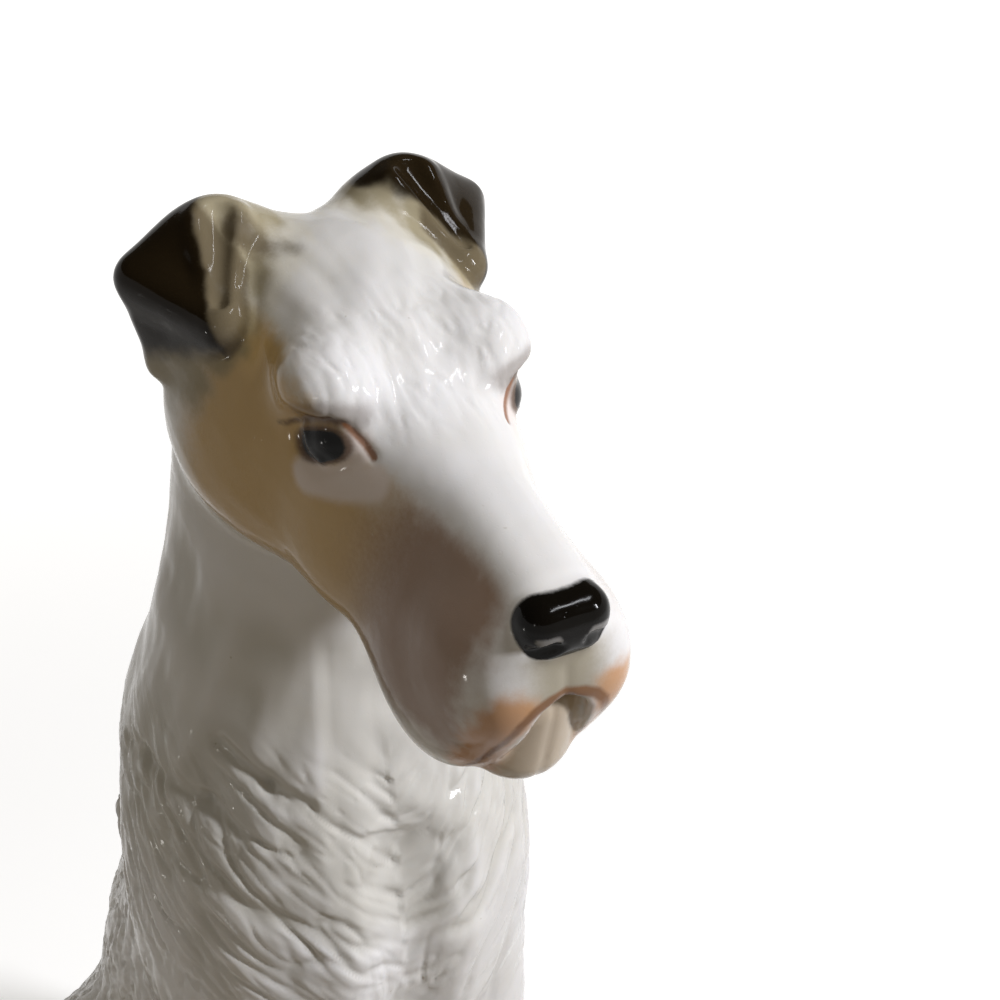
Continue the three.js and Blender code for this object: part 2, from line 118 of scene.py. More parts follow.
def blend(a, b, radius):
    """Both solids together, their joint rounded over the radius."""
    h = np.maximum(radius - np.abs(a - b), 0)
    return np.minimum(a, b) - h * h * (0.25 / radius)


def carve(solid, tool, radius):
    """The solid less the tool, the edge rounded over the radius."""
    return -blend(-solid, tool, radius)


def ellipsoid(p, centre, radii):
    once = (p - point(centre)) / point(radii)
    k0 = length(once)
    k1 = length(once / point(radii))
    return k0 * (k0 - 1) / np.maximum(k1, 1e-9)


def along(p, start, end):
    """Share of the way along a line, and the distance from it."""
    axis = np.subtract(end, start)
    rel = p - point(start)
    t = np.clip(axis @ rel / (axis @ axis), 0, 1)
    return t, length(rel - axis[:, None] * t)


def limb(p, start, end, start_radius, end_radius):
    """A bar with round ends that tapers from one radius to the other."""
    t, reach = along(p, start, end)
    return reach - (start_radius + (end_radius - start_radius) * t)


def flap(p, a, b, c, thickness):
    """A triangle with round edges."""
    a, b, c = (np.array(v, float) for v in (a, b, c))
    normal = np.cross(b - a, a - c)
    inside = np.zeros(p.shape[1])
    edge = np.full(p.shape[1], np.inf)
    for start, end in ((a, b), (b, c), (c, a)):
        inside += np.sign(np.cross(end - start, normal) @ (p - point(start)))
        edge = np.minimum(edge, along(p, start, end)[1])
    face = np.abs(normal @ (p - point(a))) / math.sqrt(normal @ normal)
    return np.where(inside < 2, edge, face) - thickness / 2


def curve(stations):
    """A smooth function through the stations, each a place and a value."""
    at = np.array([s[0] for s in stations], float)
    value = np.array([s[1] for s in stations], float)
    index = np.arange(len(at))
    before = np.maximum(index - 1, 0)
    after = np.minimum(index + 1, len(at) - 1)
    slopes = (value[after] - value[before]) / (at[after] - at[before])

    def read(x):
        x = np.clip(x, at[0], at[-1])
        i = np.clip(np.searchsorted(at, x) - 1, 0, len(at) - 2)
        step = at[i + 1] - at[i]
        s = (x - at[i]) / step
        rise = s * s * (3 - 2 * s)
        leave = s * (1 - s) ** 2 * step * slopes[i]
        arrive = s * s * (s - 1) * step * slopes[i + 1]
        return value[i] * (1 - rise) + value[i + 1] * rise + leave + arrive

    return read


def soft(x, low, high):
    """A smooth step from 0 at low to 1 at high, where low may be the larger."""
    t = np.clip((x - low) / (high - low), 0, 1)
    return t * t * (3 - 2 * t)


def bell(x, width):
    """1 where x is 0, falling softly to nothing over about twice the width."""
    return np.exp(-(x / width) ** 2)


def mirrored(p, rounding):
    """Both sides folded onto one, the fold rounded."""
    return np.stack((np.sqrt(p[0] ** 2 + rounding), p[1], p[2]))


# The head's own frame: side, forward along the muzzle, up through the skull

def in_head(p):
    y = p[1] + HEAD_FORWARD
    z = p[2] - HEAD_HEIGHT
    forward = -math.cos(NOD) * y - math.sin(NOD) * z
    return np.stack((p[0], forward, math.cos(NOD) * z - math.sin(NOD) * y))


CROWN = curve([[-23, 5], [-20, 11.4], [-14, 15.0], [-6, 15.7], [2, 14.5], [8, 11.8], [13, 9.8],
               [18, 9.0], [24, 8.6], [30, 8.0], [38, 6.6]])
JAW = curve([[-23, -9], [-19, -13.2], [-12, -16.4], [-3, -16.8], [5, -16.2], [11, -15.4],
             [17, -14.6], [24, -14], [38, -14]])
CHEEK = curve([[-23, 11], [-19, 14.2], [-12, 15.6], [-3, 14.4], [4, 12.2], [9, 11.1], [14, 9.5],
               [20, 7.7], [28, 7.2], [38, 7.2]])
SQUARENESS = curve([[-20, 2.2], [0, 2.3], [12, 2.5], [36, 2.6]])
NARROWING = curve([[-20, 0.08], [0, 0.12], [12, 0.16], [36, 0.2]])


def skull_and_muzzle(local):
    side, forward, up = local
    crown = CROWN(forward)
    jaw = JAW(forward)
    height = (crown - jaw) / 2
    level = (up - (crown + jaw) / 2) / height
    half = CHEEK(forward)
    width = half * (1 - NARROWING(forward) * np.clip(level, -1, 1))
    power = SQUARENESS(forward)
    ring = (np.abs(side / width) ** power + np.abs(level) ** power) ** (1 / power)
    front = forward - MUZZLE_LENGTH + 0.08 * (7 - up) + 0.012 * side * side
    loft = carve((ring - 1) * np.minimum(half, height), -front, 4.5)
    return carve(loft, SKULL_LENGTH + forward, 10)


def head_field(local):
    q = mirrored(local, 0.3)
    clay = skull_and_muzzle(local)
    clay = blend(clay, ellipsoid(q, [7, -10, -5.6], [8.3, 11, 9.7]), 5)
    clay = blend(clay, ellipsoid(q, [8.0, 4.2, 10.0], [4.3, 5.6, 4.1]), 3.5)
    clay = blend(clay, ellipsoid(q, [7.6, -17.2, 10.6], [5.0, 4.6, 4.6]), 4)
    clay = beard_and_lips(clay, local, q)
    clay = eyes(clay, q)
    return nose(clay, q)


def beard_and_lips(clay, local, q):
    end = MUZZLE_LENGTH
    arch = MOUTH_WIDTH / 2
    clay = blend(clay, ellipsoid(q, [4.4, end - 14.1, -9.8], [5.2, 9.6, 10.2]), 3.5)
    lips = [ellipsoid(local, [place, end - 6.8, -3.6], [4.8, 6.9, 6.4]) for place in (-4.0, 4.0)]
    clay = blend(clay, blend(*lips, 6), 3)
    mouth = limb(local, [0, end - 1.5, -6.0], [0, end - 3.5, -18], arch * 0.68, arch * 0.95)
    return blend(carve(clay, mouth, 0.8), chin_pad(local), 0.6)


def chin_pad(local):
    end = MUZZLE_LENGTH
    arch = MOUTH_WIDTH / 2
    return limb(local, [0, end - 5.8, -7.2], [0, end - 7.2, -13], arch + 0.5, arch + 1.1)


def eyes(clay, q):
    out = EYE_SPACING / 2
    socket = [EYE_SIZE, EYE_SIZE * 1.6, EYE_SIZE]
    ball = [EYE_SIZE, EYE_SIZE * 1.2, EYE_SIZE]
    clay = carve(clay, ellipsoid(q, [out + 3.2, 8.6, 6.2], socket), 2.2)
    return blend(clay, ellipsoid(q, [out - 0.6, 6.9, 6.1], ball), 1.2)


def nose_pad(q):
    reach = NOSE_WIDTH / 2 - NOSE_RADIUS
    middle = MUZZLE_LENGTH - 1.7
    top = limb(q, [-reach, middle, 4.6], [reach, middle, 4.6], NOSE_RADIUS, NOSE_RADIUS)
    low = limb(q, [-reach * 0.7, middle, 3.3], [reach * 0.7, middle, 3.3], NOSE_RADIUS, NOSE_RADIUS)
    return blend(top, low, 1.0)


def nostril(q):
    half = NOSE_WIDTH / 2
    end = MUZZLE_LENGTH
    return limb(q, [half * 0.45, end + 0.9, 3.3], [half * 0.85, end - 0.1, 2.5], 0.8, 0.6)


def nose(clay, q):
    return carve(blend(clay, nose_pad(q), 0.8), nostril(q), 0.5)


EAR_ROOT = [10.0, -16.5, 13.9]
EAR_BEND = [17.1, -17.8, 9.5]
EAR_FRONT = [12.4, -8.5, 9.0]
EAR_BACK = [15.0, -16.0, 0.6]
EAR_TIP = [12.7, -10.5, 0.3]
EAR_INNER_EDGE = ([8.0, -15.4, 15.6], [12.2, -8.3, 10.2])
EAR_FRONT_EDGE = ([11.8, -16.4, 15.0], [13.0, -8.9, 9.2])
EAR_POCKET = ([10.1, -15.2, 17.4], [12.7, -8.6, 11.6])


def ear_field(local):
    q = mirrored(local, 0)
    clay = blend(flap(q, EAR_ROOT, EAR_BEND, EAR_FRONT, EAR_THICKNESS),
                 flap(q, EAR_BEND, EAR_BACK, EAR_FRONT, EAR_THICKNESS), 2)
    clay = blend(clay, flap(q, EAR_FRONT, EAR_BACK, EAR_TIP, EAR_THICKNESS * 0.9), 2)
    clay = blend(clay, ellipsoid(q, [11, -18, 8], [6, 4.2, 7.5]), 3)
    clay = blend(clay, ellipsoid(q, [9.0, -16.4, 12.8], [4.2, 3.6, 3.8]), 2.5)
    clay = blend(clay, limb(q, *EAR_INNER_EDGE, 1.2, 1.0), 1.0)
    clay = blend(clay, limb(q, *EAR_FRONT_EDGE, 1.2, 0.9), 1.0)
    return carve(clay, limb(q, *EAR_POCKET, 1.7, 0.6), 0.8)


# Body, legs, feet and tail

NECK_TOP = [0, 16 - HEAD_FORWARD, HEAD_HEIGHT - 13]
SEAM_LEVEL = HEAD_HEIGHT - SEAM_BELOW_HEAD


def seam_height(p):
    """Height with the slope of the neck seam taken out, so that the seam lies at SEAM_LEVEL."""
    return p[2] - SEAM_SLOPE * p[1]


def torso_field(p):
    q = mirrored(p, 0.5)
    chest = CHEST_DEPTH / 2
    rump = RUMP_WIDTH / 2
    low = SHOULDER_HEIGHT
    clay = limb(p, NECK_TOP, [0, 1.5, low], NECK_RADIUS, SHOULDER_RADIUS)
    clay = blend(clay, ellipsoid(p, [0, chest - 25.5, low - 19], [19.5, chest, 29]), 14)
    clay = blend(clay, ellipsoid(p, [0, 12, low - 44], [18.8, chest + 1, 32]), 14)
    clay = blend(clay, ellipsoid(p, [0, 24, 50], [20, 23, 32]), 14)
    clay = blend(clay, ellipsoid(p, [0, RUMP_BACK, 25], [rump, 26, 30]), 14)
    clay = blend(clay, ellipsoid(q, [FORELEG_SPACING / 2 + 0.2, -3, low - 21], [9.0, 14, 21]), 7)
    clay = blend(clay, thigh(q), 6)
    return carve(clay, limb(p, [0, -25, low - 6], [0, -27, low - 48], 2.2, 6.5), 6)


def thigh(q):
    out = RUMP_WIDTH / 2 - 3.5
    hock = [HIND_FOOT_SPACING / 2 - 1.5, 28, 11]
    haunch = ellipsoid(q, [out, 22, 32], [THIGH_WIDTH / 2, 24, 25])
    return blend(haunch, limb(q, [out + 0.5, 6, 33], hock, 10.5, 8.5), 7)


LEG_CENTRE = curve([[0, -14], [14, -13.4], [44, -11.2], [62, -9.4], [78, -7], [100, -5]])
LEG_FLARE = curve([[0, 0.9], [10, 0.3], [26, 0], [44, 0.2], [60, 0.8], [78, 2.0], [100, 2.4]])


def foreleg_field(p):
    x = np.abs(p[0]) - FORELEG_SPACING / 2
    y = p[1] - LEG_CENTRE(p[2])
    paw = FOREPAW_LENGTH / 2
    width = ANKLE_RADIUS + LEG_FLARE(p[2])
    column = (np.hypot(x / width, y / (width * 1.1)) - 1) * width
    leg = carve(column, ELBOW_HEIGHT + 10 - p[2], 8)
    return blend(leg, ellipsoid(np.stack((x, p[1], p[2])), [0.2, -7 - paw, 6.0], [8.6, paw, 7.0]), 6)


def hind_foot_field(p):
    q = np.stack((np.abs(p[0]) - HIND_FOOT_SPACING / 2, p[1], p[2]))
    toe = 28 - HIND_FOOT_LENGTH
    shank = limb(q, [-2, 26, 8], [0, toe + 12, 6.2], 8.4, 7.0)
    return blend(shank, ellipsoid(q, [0.3, toe + 10.5, 5.8], [8.4, 10.5, 7.0]), 4)


def tail_field(p):
    tip = [0, 50 + TAIL_LENGTH * 0.5, 26 + TAIL_LENGTH * 0.85]
    return limb(p, [0, 50, 26], tip, TAIL_RADIUS, TAIL_RADIUS - 2.2)


HEAD_REACH = 116.0
LEG_REACH = 100.0


def figure(p):
    """The plain solids in one piece, with the clay of each joint smoothed over."""
    clay = torso_field(p)
    high = np.flatnonzero(p[2] > HEAD_REACH)
    if len(high):
        local = in_head(p[:, high])
        head = blend(head_field(local), clay[high], 1.6)
        clay[high] = blend(head, ear_field(local), 1.0)
    low = np.flatnonzero(p[2] < LEG_REACH)
    if len(low):
        part = p[:, low]
        limbs = blend(foreleg_field(part), hind_foot_field(part), 1.0)
        clay[low] = blend(blend(clay[low], limbs, 2.0), tail_field(part), 3.0)
    vent = np.maximum(np.hypot(p[0], p[1] - RUMP_BACK) - VENT_RADIUS, p[2] - VENT_DEPTH)
    return np.maximum(np.maximum(clay, -p[2]), -vent)


# Repeatable gradient noise, about -1 to 1, with a table for each seed

def noise(x, y, z, seed):
    base = [np.floor(v) for v in (x, y, z)]
    part = [v - b for v, b in zip((x, y, z), base)]
    cell = [b.astype(np.int64) & 255 for b in base]
    fade = [t * t * t * (t * (t * 6 - 15) + 10) for t in part]
    order, gradient = NOISE_TABLES[seed % len(NOISE_TABLES)]
    total = np.zeros(len(x))
    for a in (0, 1):
        first = order[(cell[0] + a) & 255]
        wide = fade[0] if a else 1 - fade[0]
        for b in (0, 1):
            second = order[(first + cell[1] + b) & 255]
            deep = wide * (fade[1] if b else 1 - fade[1])
            for c in (0, 1):
                g = gradient[:, order[(second + cell[2] + c) & 255]]
                reach = g[0] * (part[0] - a) + g[1] * (part[1] - b) + g[2] * (part[2] - c)
                total += deep * (fade[2] if c else 1 - fade[2]) * reach
    return total * 1.5


def noise_table(seed):
    chance = np.random.default_rng(seed)
    gradient = chance.normal(size=(3, 256))
    return chance.permutation(256), gradient / length(gradient)


NOISE_TABLES = [noise_table(seed) for seed in range(16)]


def locks(run, across, depth, seed):
    """Rounded locks of hair, 0 on a lock and about 1 in the sharp valleys between them."""
    bend = 0.55 * noise(run * 0.5, across * 0.25, depth * 0.5, seed + 1)
    sheet = noise(run, across + bend, depth, seed)
    fine = noise(run * 1.3 + 5, across * 2.3 + bend, depth, seed + 2)
    return np.maximum(1 - np.abs(sheet) / 0.30, 0) ** 1.5 + 0.35 * np.maximum(1 - np.abs(fine) / 0.25, 0)


def waves(run, across, depth, seed):
    """Soft broad folds, about 0 at their tops and 1 between them."""
    bend = 0.6 * noise(run * 0.6, across * 0.3, depth * 0.5, seed + 1)
    broad = noise(run, across + bend, depth, seed)
    small = noise(1.7 * run, 2.3 * across, depth, seed + 2)
    return 0.5 - 0.75 * broad - 0.2 * small


def where(weight, depth):
    """weight times depth, with depth worked out only for the points that it touches."""
    total = np.zeros(len(weight))
    touched = np.flatnonzero(weight > 0.001)
    total[touched] = weight[touched] * depth(touched)
    return total


# Fine relief, the depth by which the surface lies below the plain solid, in millimetres

SINK = 0.05
TUFT_DEPTH = 0.50
BROW_LOCK_DEPTH = 0.14
BROW_WAVE_DEPTH = 0.22
CHEEK_WAVE_DEPTH = 0.12
LID_DEPTH = 0.22
BALL_EDGE_RISE = 0.35
LIP_GROOVE_DEPTH = 0.16
NECK_WAVE_DEPTH = 0.60
NECK_LUMP_DEPTH = 0.45
THROAT_SIDE_DEPTH = 0.55
THROAT_FRONT_DEPTH = 0.85
CHEST_LOCK_DEPTH = 0.5
RUFFLE_DEPTH = 0.45
FLANK_LOCK_DEPTH = 0.42
CREASE_DEPTH = 0.8
TOE_GROOVE_DEPTH = 1.1
TOE_GROOVES = (-4.3, 0, 4.3)

# Half widths of the cut lines
LID_WIDTH = 0.42
BALL_EDGE_WIDTH = 0.55
LIP_GROOVE_WIDTH = 0.5
CREASE_WIDTH = 1.0
TOE_GROOVE_WIDTH = 0.75

# The neck's middle from front to back, and the radius for measuring round it
NECK_MIDDLE = 2
NECK_GIRTH = 19

EYE = np.array([EYE_SPACING / 2 + 1.6, 8.5, 6.6])
EYE_OUT = np.array([0.88, 0.44, 0.17])
EYE_AHEAD = np.array([-0.447, 0.894, 0.0])
EYE_OVER = np.cross(EYE_OUT, EYE_AHEAD)
EYE_REACH = 9.5
EYE_TILT = math.radians(30)
LID_LINE = [[-6.2, -1.2, 0], [-5.2, -0.8, 0], [-3.9, 0.1, 0], [-1.5, 1.9, 0], [0.7, 2.7, 0], [1.8, 2.8, 0]]
BALL_EDGE = [[-2.7, 0.4, 0], [-2.0, -0.6, 0], [-1.6, -1.6, 0], [-0.2, -2.0, 0]]
TEAR_STROKE = [[2.0, 2.5, 0], [2.9, 1.7, 0], [3.9, 1.0, 0], [4.8, 0.5, 0]]


def on_eye(q):
    """Place on the eye in millimetres: towards the nose, over the eye, and nothing."""
    rel = q - EYE[:, None]
    return np.stack((EYE_AHEAD @ rel, EYE_OVER @ rel, np.zeros(q.shape[1])))


def chain(p, places, start_radius, end_radius):
    """Distance to a stroke drawn through the places, its width changing along it."""
    radius = np.linspace(start_radius, end_radius, len(places))
    pairs = zip(places[:-1], places[1:], radius[:-1], radius[1:])
    return np.min([limb(p, *pair) for pair in pairs], axis=0)


def head_relief(local):
    side, forward, up = local
    q = mirrored(local, 0)
    out = q[0]
    fan = side / (1 + 0.035 * np.clip(14 - forward, 0, 30))
    tufts = soft(up, 6, 10) * soft(forward, 5, -3) * soft(forward, -23, -18)
    depth = where(TUFT_DEPTH * tufts, lambda n: waves(forward[n] / 8, fan[n] / 2.6, up[n] / 12, 1))
    brow = soft(up, 7, 10) * soft(forward, -3, 2) * soft(forward, 17, 10) * soft(out, 11.5, 9.5)
    depth += where(BROW_LOCK_DEPTH * brow, lambda n: locks(
        (forward[n] + 0.3 * side[n]) / 5, (side[n] - 0.12 * forward[n]) / 1.6, up[n] / 9, 1))
    depth += where(BROW_WAVE_DEPTH * brow, lambda n: waves(forward[n] / 6, side[n] / 3.2, up[n] / 9, 3))
    cheek = soft(out, 6, 9) * soft(forward, 12, 4) * soft(up, 8, 3) * soft(up, -16, -9)
    depth += where(CHEEK_WAVE_DEPTH * cheek, lambda n: waves(
        (forward[n] - 0.5 * up[n]) / 9, (up[n] + 0.5 * forward[n]) / 3.4, out[n] / 9, 4))
    near = np.flatnonzero(length(q - EYE[:, None]) < EYE_REACH)
    spot = on_eye(q[:, near])
    lid = chain(spot, LID_LINE + TEAR_STROKE[1:], 0, 0)
    depth[near] += LID_DEPTH * bell(lid, LID_WIDTH) * soft(spot[0], -7, -2)
    edge = chain(spot, BALL_EDGE, 0, 0)
    depth[near] -= BALL_EDGE_RISE * bell(edge, BALL_EDGE_WIDTH)
    groove = bell(side, LIP_GROOVE_WIDTH) * soft(up, 1.0, -0.4) * soft(forward, 32, 35)
    return depth + LIP_GROOVE_DEPTH * groove


NECK_CREASES = (([21.3, 0, 119.6], [18.0, -10.8, 119.3]), ([18.0, -10.8, 119.3], [14.6, -14.6, 117.0]),
                ([16.2, -11.2, 126.4], [12.6, -16.2, 122.8]), ([12.6, -16.2, 122.8], [9.0, -18.6, 121.0]))


def body_relief(p):
    x, y, z = p
    around = np.arctan2(x, -(y - NECK_MIDDLE)) * NECK_GIRTH
    front = soft(y, 14, 4)
    neck = soft(z, 104, 122) * soft(z, 166, 146)
    drape = around * (1 + 0.0035 * (z - 130)) + 0.18 * (z - 130) * np.sign(x)
    depth = where(NECK_WAVE_DEPTH * neck, lambda n: waves(z[n] / 15, drape[n] / 5.4, y[n] / 30, 2))
    depth += where(NECK_LUMP_DEPTH * neck, lambda n: 0.5 + noise(z[n] / 7, around[n] / 7, y[n] / 12, 10))
    throat = soft(z, 100, 112) * soft(z, 160, 150) * front
    fold = THROAT_SIDE_DEPTH * soft(np.abs(around), 7.0, 5.0)
    fold += THROAT_FRONT_DEPTH * soft(np.abs(around), 6.0, 0.4)
    depth += where(throat * fold, lambda n: 1 + 0.35 * noise(z[n] / 5.5, around[n] / 4, y[n] / 20, 6))
    sweep = around - np.sign(x) * 0.8 * (z - 100)
    chest = soft(z, 86, 106) * soft(z, 130, 116) * front
    depth += where(CHEST_LOCK_DEPTH * chest, lambda n: locks(z[n] / 7.5, sweep[n] / 3.3, y[n] / 14, 5))
    ruffle = soft(z, 96, 110) * soft(z, 131, 117) * soft(y, 12, -2)
    depth += where(RUFFLE_DEPTH * ruffle, lambda n: waves(z[n] / 4.5, around[n] / 4.2, y[n] / 8, 9))
    flank = soft(z, 8, 20) * (1 - neck) * (1 - chest)
    legs = soft(z, 12, 20) * soft(z, 92, 80) * soft(y, -2, -8)
    depth += where(FLANK_LOCK_DEPTH * flank * (1 - 0.55 * legs), lambda n: locks(
        (z[n] - 0.35 * y[n]) / 11, (y[n] - 0.9 * np.abs(x[n]) + 0.25 * z[n]) / 2.6, x[n] / 16, 8))
    near = np.flatnonzero((z > 112) & (z < 132))
    q = mirrored(p[:, near], 0)
    for crease in NECK_CREASES:
        depth[near] += CREASE_DEPTH * bell(limb(q, *crease, 0, 0), CREASE_WIDTH)
    return depth + toes(p)


def toes(p):
    depth = np.zeros(p.shape[1])
    low = np.flatnonzero((p[2] < 16) & (p[1] < 22))
    x, y = np.abs(p[0, low]), p[1, low]
    paws = ((FORELEG_SPACING / 2 + 0.2, -7 - FOREPAW_LENGTH),
            (HIND_FOOT_SPACING / 2 + 0.3, 28 - HIND_FOOT_LENGTH))
    for middle, front in paws:
        behind = y - front
        bare = soft(behind, 10.5, 4) * soft(np.abs(x - middle), 9, 7.5)
        for place in TOE_GROOVES:
            lean = x - middle - place * (1 - 0.03 * behind)
            depth[low] += TOE_GROOVE_DEPTH * bare * bell(lean, TOE_GROOVE_WIDTH)
    return depth


# Levels between which the body's hair gives way to the head's
HAIR_CHANGE = (146, 156)


def relief(p):
    """Depth of the modelled hair, lids and toes at each point of the plain surface."""
    high = soft(seam_height(p), *HAIR_CHANGE)
    depth = np.full(p.shape[1], SINK)
    head = np.flatnonzero(high > 0)
    local = in_head(p[:, head])
    depth[head] += high[head] * head_relief(local) * soft(ear_field(local), 0.2, 1.6)
    body = np.flatnonzero(high < 1)
    depth[body] += (1 - high[body]) * body_relief(p[:, body]) * soft(p[2, body], 0, 3)
    return depth


# Surface nets over a grid, settled on the field

def in_parts(field, points, size=300_000):
    """The field worked out in parts, to save memory."""
    return np.concatenate([field(points[:, i:i + size]) for i in range(0, points.shape[1], size)])


# Half the diagonal of a cube of side 1, and the steepest that a field rises
HALF_DIAGONAL = 0.87
STEEPEST = 1.35


def sampled(field, low, count, cell, block=6):
    """Values at grid points, worked out only in blocks that the surface may cross."""
    blocks = -(-count // block)
    index = np.indices(blocks).reshape(3, -1)
    centre = point(low) + (index * block + (block - 1) / 2) * cell
    rough = in_parts(field, centre)
    near = np.abs(rough) < block * cell * HALF_DIAGONAL * STEEPEST
    value = np.repeat(np.repeat(np.repeat(rough.reshape(blocks), block, 0), block, 1), block, 2)
    inner = np.indices((block, block, block)).reshape(3, 1, -1)
    spot = (index[:, near][:, :, None] * block + inner).reshape(3, -1)
    value[tuple(spot)] = in_parts(field, point(low) + spot * cell)
    return value[:count[0], :count[1], :count[2]]


def net(field, low, high, cell):
    """The surface's points, one in each cell that it crosses, and its quads."""
    low = np.floor(np.array(low) / cell) * cell
    count = np.ceil((np.array(high) - low) / cell).astype(int) + 2
    value = sampled(field, low, count, cell)
    inside = value < 0
    total = np.zeros((3,) + tuple(count - 1))
    crossings = np.zeros(tuple(count - 1))
    for axis in range(3):
        near, far = [slice(None)] * 3, [slice(None)] * 3
        near[axis], far[axis] = slice(0, -1), slice(1, None)
        near, far = tuple(near), tuple(far)
        crossed = inside[near] != inside[far]
        share = np.where(crossed, value[near] / np.where(crossed, value[near] - value[far], 1), 0)
        u, w = [i for i in range(3) if i != axis]
        for du in (0, 1):
            for dw in (0, 1):
                part = [slice(None)] * 3
                part[u] = slice(du, crossed.shape[u] - 1 + du)
                part[w] = slice(dw, crossed.shape[w] - 1 + dw)
                hit = crossed[tuple(part)]
                crossings += hit
                total[axis] += share[tuple(part)]
                total[u] += hit * du
                total[w] += hit * dw
    active = crossings > 0
    number = np.full(active.shape, -1)
    number[active] = np.arange(active.sum())
    points = point(low) + (np.argwhere(active).T + total[:, active] / crossings[active]) * cell
    rings = [ring_of(inside, number, axis) for axis in range(3)]
    return points, np.concatenate(rings)


def ring_of(inside, number, axis):
    """Four cells round each crossed grid edge along an axis, in an order that faces outwards."""
    u, w = (axis + 1) % 3, (axis + 2) % 3
    near, far = [slice(1, -1)] * 3, [slice(1, -1)] * 3
    near[axis], far[axis] = slice(0, -1), slice(1, None)
    start = inside[tuple(near)]
    crossed = np.argwhere(start != inside[tuple(far)])
    flip = ~start[tuple(crossed.T)]
    base = crossed + 1
    base[:, axis] -= 1
    ring = []
    for du, dw in ((1, 1), (0, 1), (0, 0), (1, 0)):
        corner = base.copy()
        corner[:, u] -= du
        corner[:, w] -= dw
        ring.append(number[tuple(corner.T)])
    ring = np.column_stack(ring)
    ring[flip] = ring[flip][:, ::-1]
    return ring


def slope(field, points, step=0.05):
    """The field's gradient, from the corners of a small tetrahedron."""
    away = np.array([[1, -1, -1], [-1, -1, 1], [-1, 1, -1], [1, 1, 1]], float)
    return sum(k[:, None] * in_parts(field, points + k[:, None] * step) for k in away) / (4 * step)


def settle(field, points, passes, reach):
    """Points moved onto the surface, in each pass by no more than the reach."""
    for _ in range(passes):
        g = slope(field, points)
        move = in_parts(field, points) / np.maximum((g * g).sum(0), 0.2)
        points = points - g * np.clip(move, -reach, reach)
    return points


# Which casting each face belongs to

BODY_SLOT = "glazed_white_body"
HEAD_SLOT = "glazed_white_head"
EAR_SLOT = "painted_brown_ears"

# The solid that each piece dresses, and its material slot
PIECES = (
    ("torso_casting", BODY_SLOT),
    ("head_casting", HEAD_SLOT),
    ("ear_left", EAR_SLOT),
    ("ear_right", EAR_SLOT),
    ("foreleg_left", BODY_SLOT),
    ("foreleg_right", BODY_SLOT),
    ("hind_foot_left", BODY_SLOT),
    ("hind_foot_right", BODY_SLOT),
    ("tail", BODY_SLOT),
)

# Places in PIECES; the right one of a pair follows the left one
TORSO, HEAD, LEFT_EAR, LEFT_FORELEG, LEFT_HIND_FOOT, TAIL = 0, 1, 2, 4, 6, 8


def castings(p):
    """Place in PIECES of the casting that the clay at each point belongs to."""
    right = np.where(p[0] > 0, 0, 1)
    label = np.full(p.shape[1], TORSO)
    above = seam_height(p) > SEAM_LEVEL
    label[above] = HEAD
    high = np.flatnonzero(above)
    local = in_head(p[:, high])
    on_ear = high[ear_field(local) < head_field(local)]
    label[on_ear] = LEFT_EAR + right[on_ear]
    low = np.flatnonzero(p[2] < LEG_REACH)
    part = p[:, low]
    trunk = torso_field(part)
    for field, left_one in ((foreleg_field, LEFT_FORELEG), (hind_foot_field, LEFT_HIND_FOOT)):
        outside = low[field(part) < trunk]
        label[outside] = left_one + right[outside]
    label[low[tail_field(part) < trunk]] = TAIL
    return label


# The whole skin: coarse everywhere, then finer, and finest where the modelling is finest

def edges_of(quads, others=()):
    """Each edge of the quads and the other rings once, as a pair of points."""
    rings = [np.sort(quads[:, [i, (i + 1) % 4]], axis=1) for i in range(4)]
    for ring in others:
        rings.append(np.sort(np.column_stack((ring, np.roll(ring, -1))), axis=1))
    return np.unique(np.concatenate(rings), axis=0)


def evened(points, edges, share):
    """Points moved by a share of the way to the mean of their neighbours."""
    count = points.shape[1]
    start, end = np.concatenate([edges, edges[:, ::-1]]).T
    degree = np.maximum(np.bincount(start, minlength=count), 1)
    mean = np.stack([np.bincount(start, row[end], count) for row in points]) / degree
    return points + share * (mean - points)


def split(points, quads, chosen):
    """Every chosen quad becomes four; its neighbours take up the new points on their edges."""
    count = points.shape[1]
    ends = np.sort(np.stack([quads[:, [i, (i + 1) % 4]] for i in range(4)], axis=1), axis=2)
    code = ends[:, :, 0].astype(np.int64) * count + ends[:, :, 1]
    cut = np.unique(code[chosen])
    halfway = (points[:, cut // count] + points[:, cut % count]) / 2
    fine = quads[chosen]
    edge = np.searchsorted(cut, code[chosen]) + count
    middle = np.arange(len(fine)) + count + len(cut)
    parts = [np.column_stack((fine[:, i], edge[:, i], middle, edge[:, i - 1])) for i in range(4)]
    points = np.hstack([points, halfway, points[:, fine].mean(axis=2)])
    kept = quads[~chosen]
    code = code[~chosen]
    place = np.minimum(np.searchsorted(cut, code), len(cut) - 1)
    met = cut[place] == code
    whole = ~met.any(axis=1)
    mixed = []
    for ring, hit, new in zip(kept[~whole], met[~whole], place[~whole] + count):
        mixed.append([v for i in range(4) for v in ((ring[i], new[i]) if hit[i] else (ring[i],))])
    return points, np.concatenate([kept[whole]] + parts), [np.array(ring) for ring in mixed]


CHEST_FROM = 94
CHEST_TO = 150
CHEST_BACK = 6
SEAM_MARGIN = 2


def finest(p):
    """Whether each point lies on the head, the throat or the chest."""
    chest = (p[2] > CHEST_FROM) & (p[1] < CHEST_BACK) & (p[2] < CHEST_TO)
    return (seam_height(p) > SEAM_LEVEL - SEAM_MARGIN) | chest


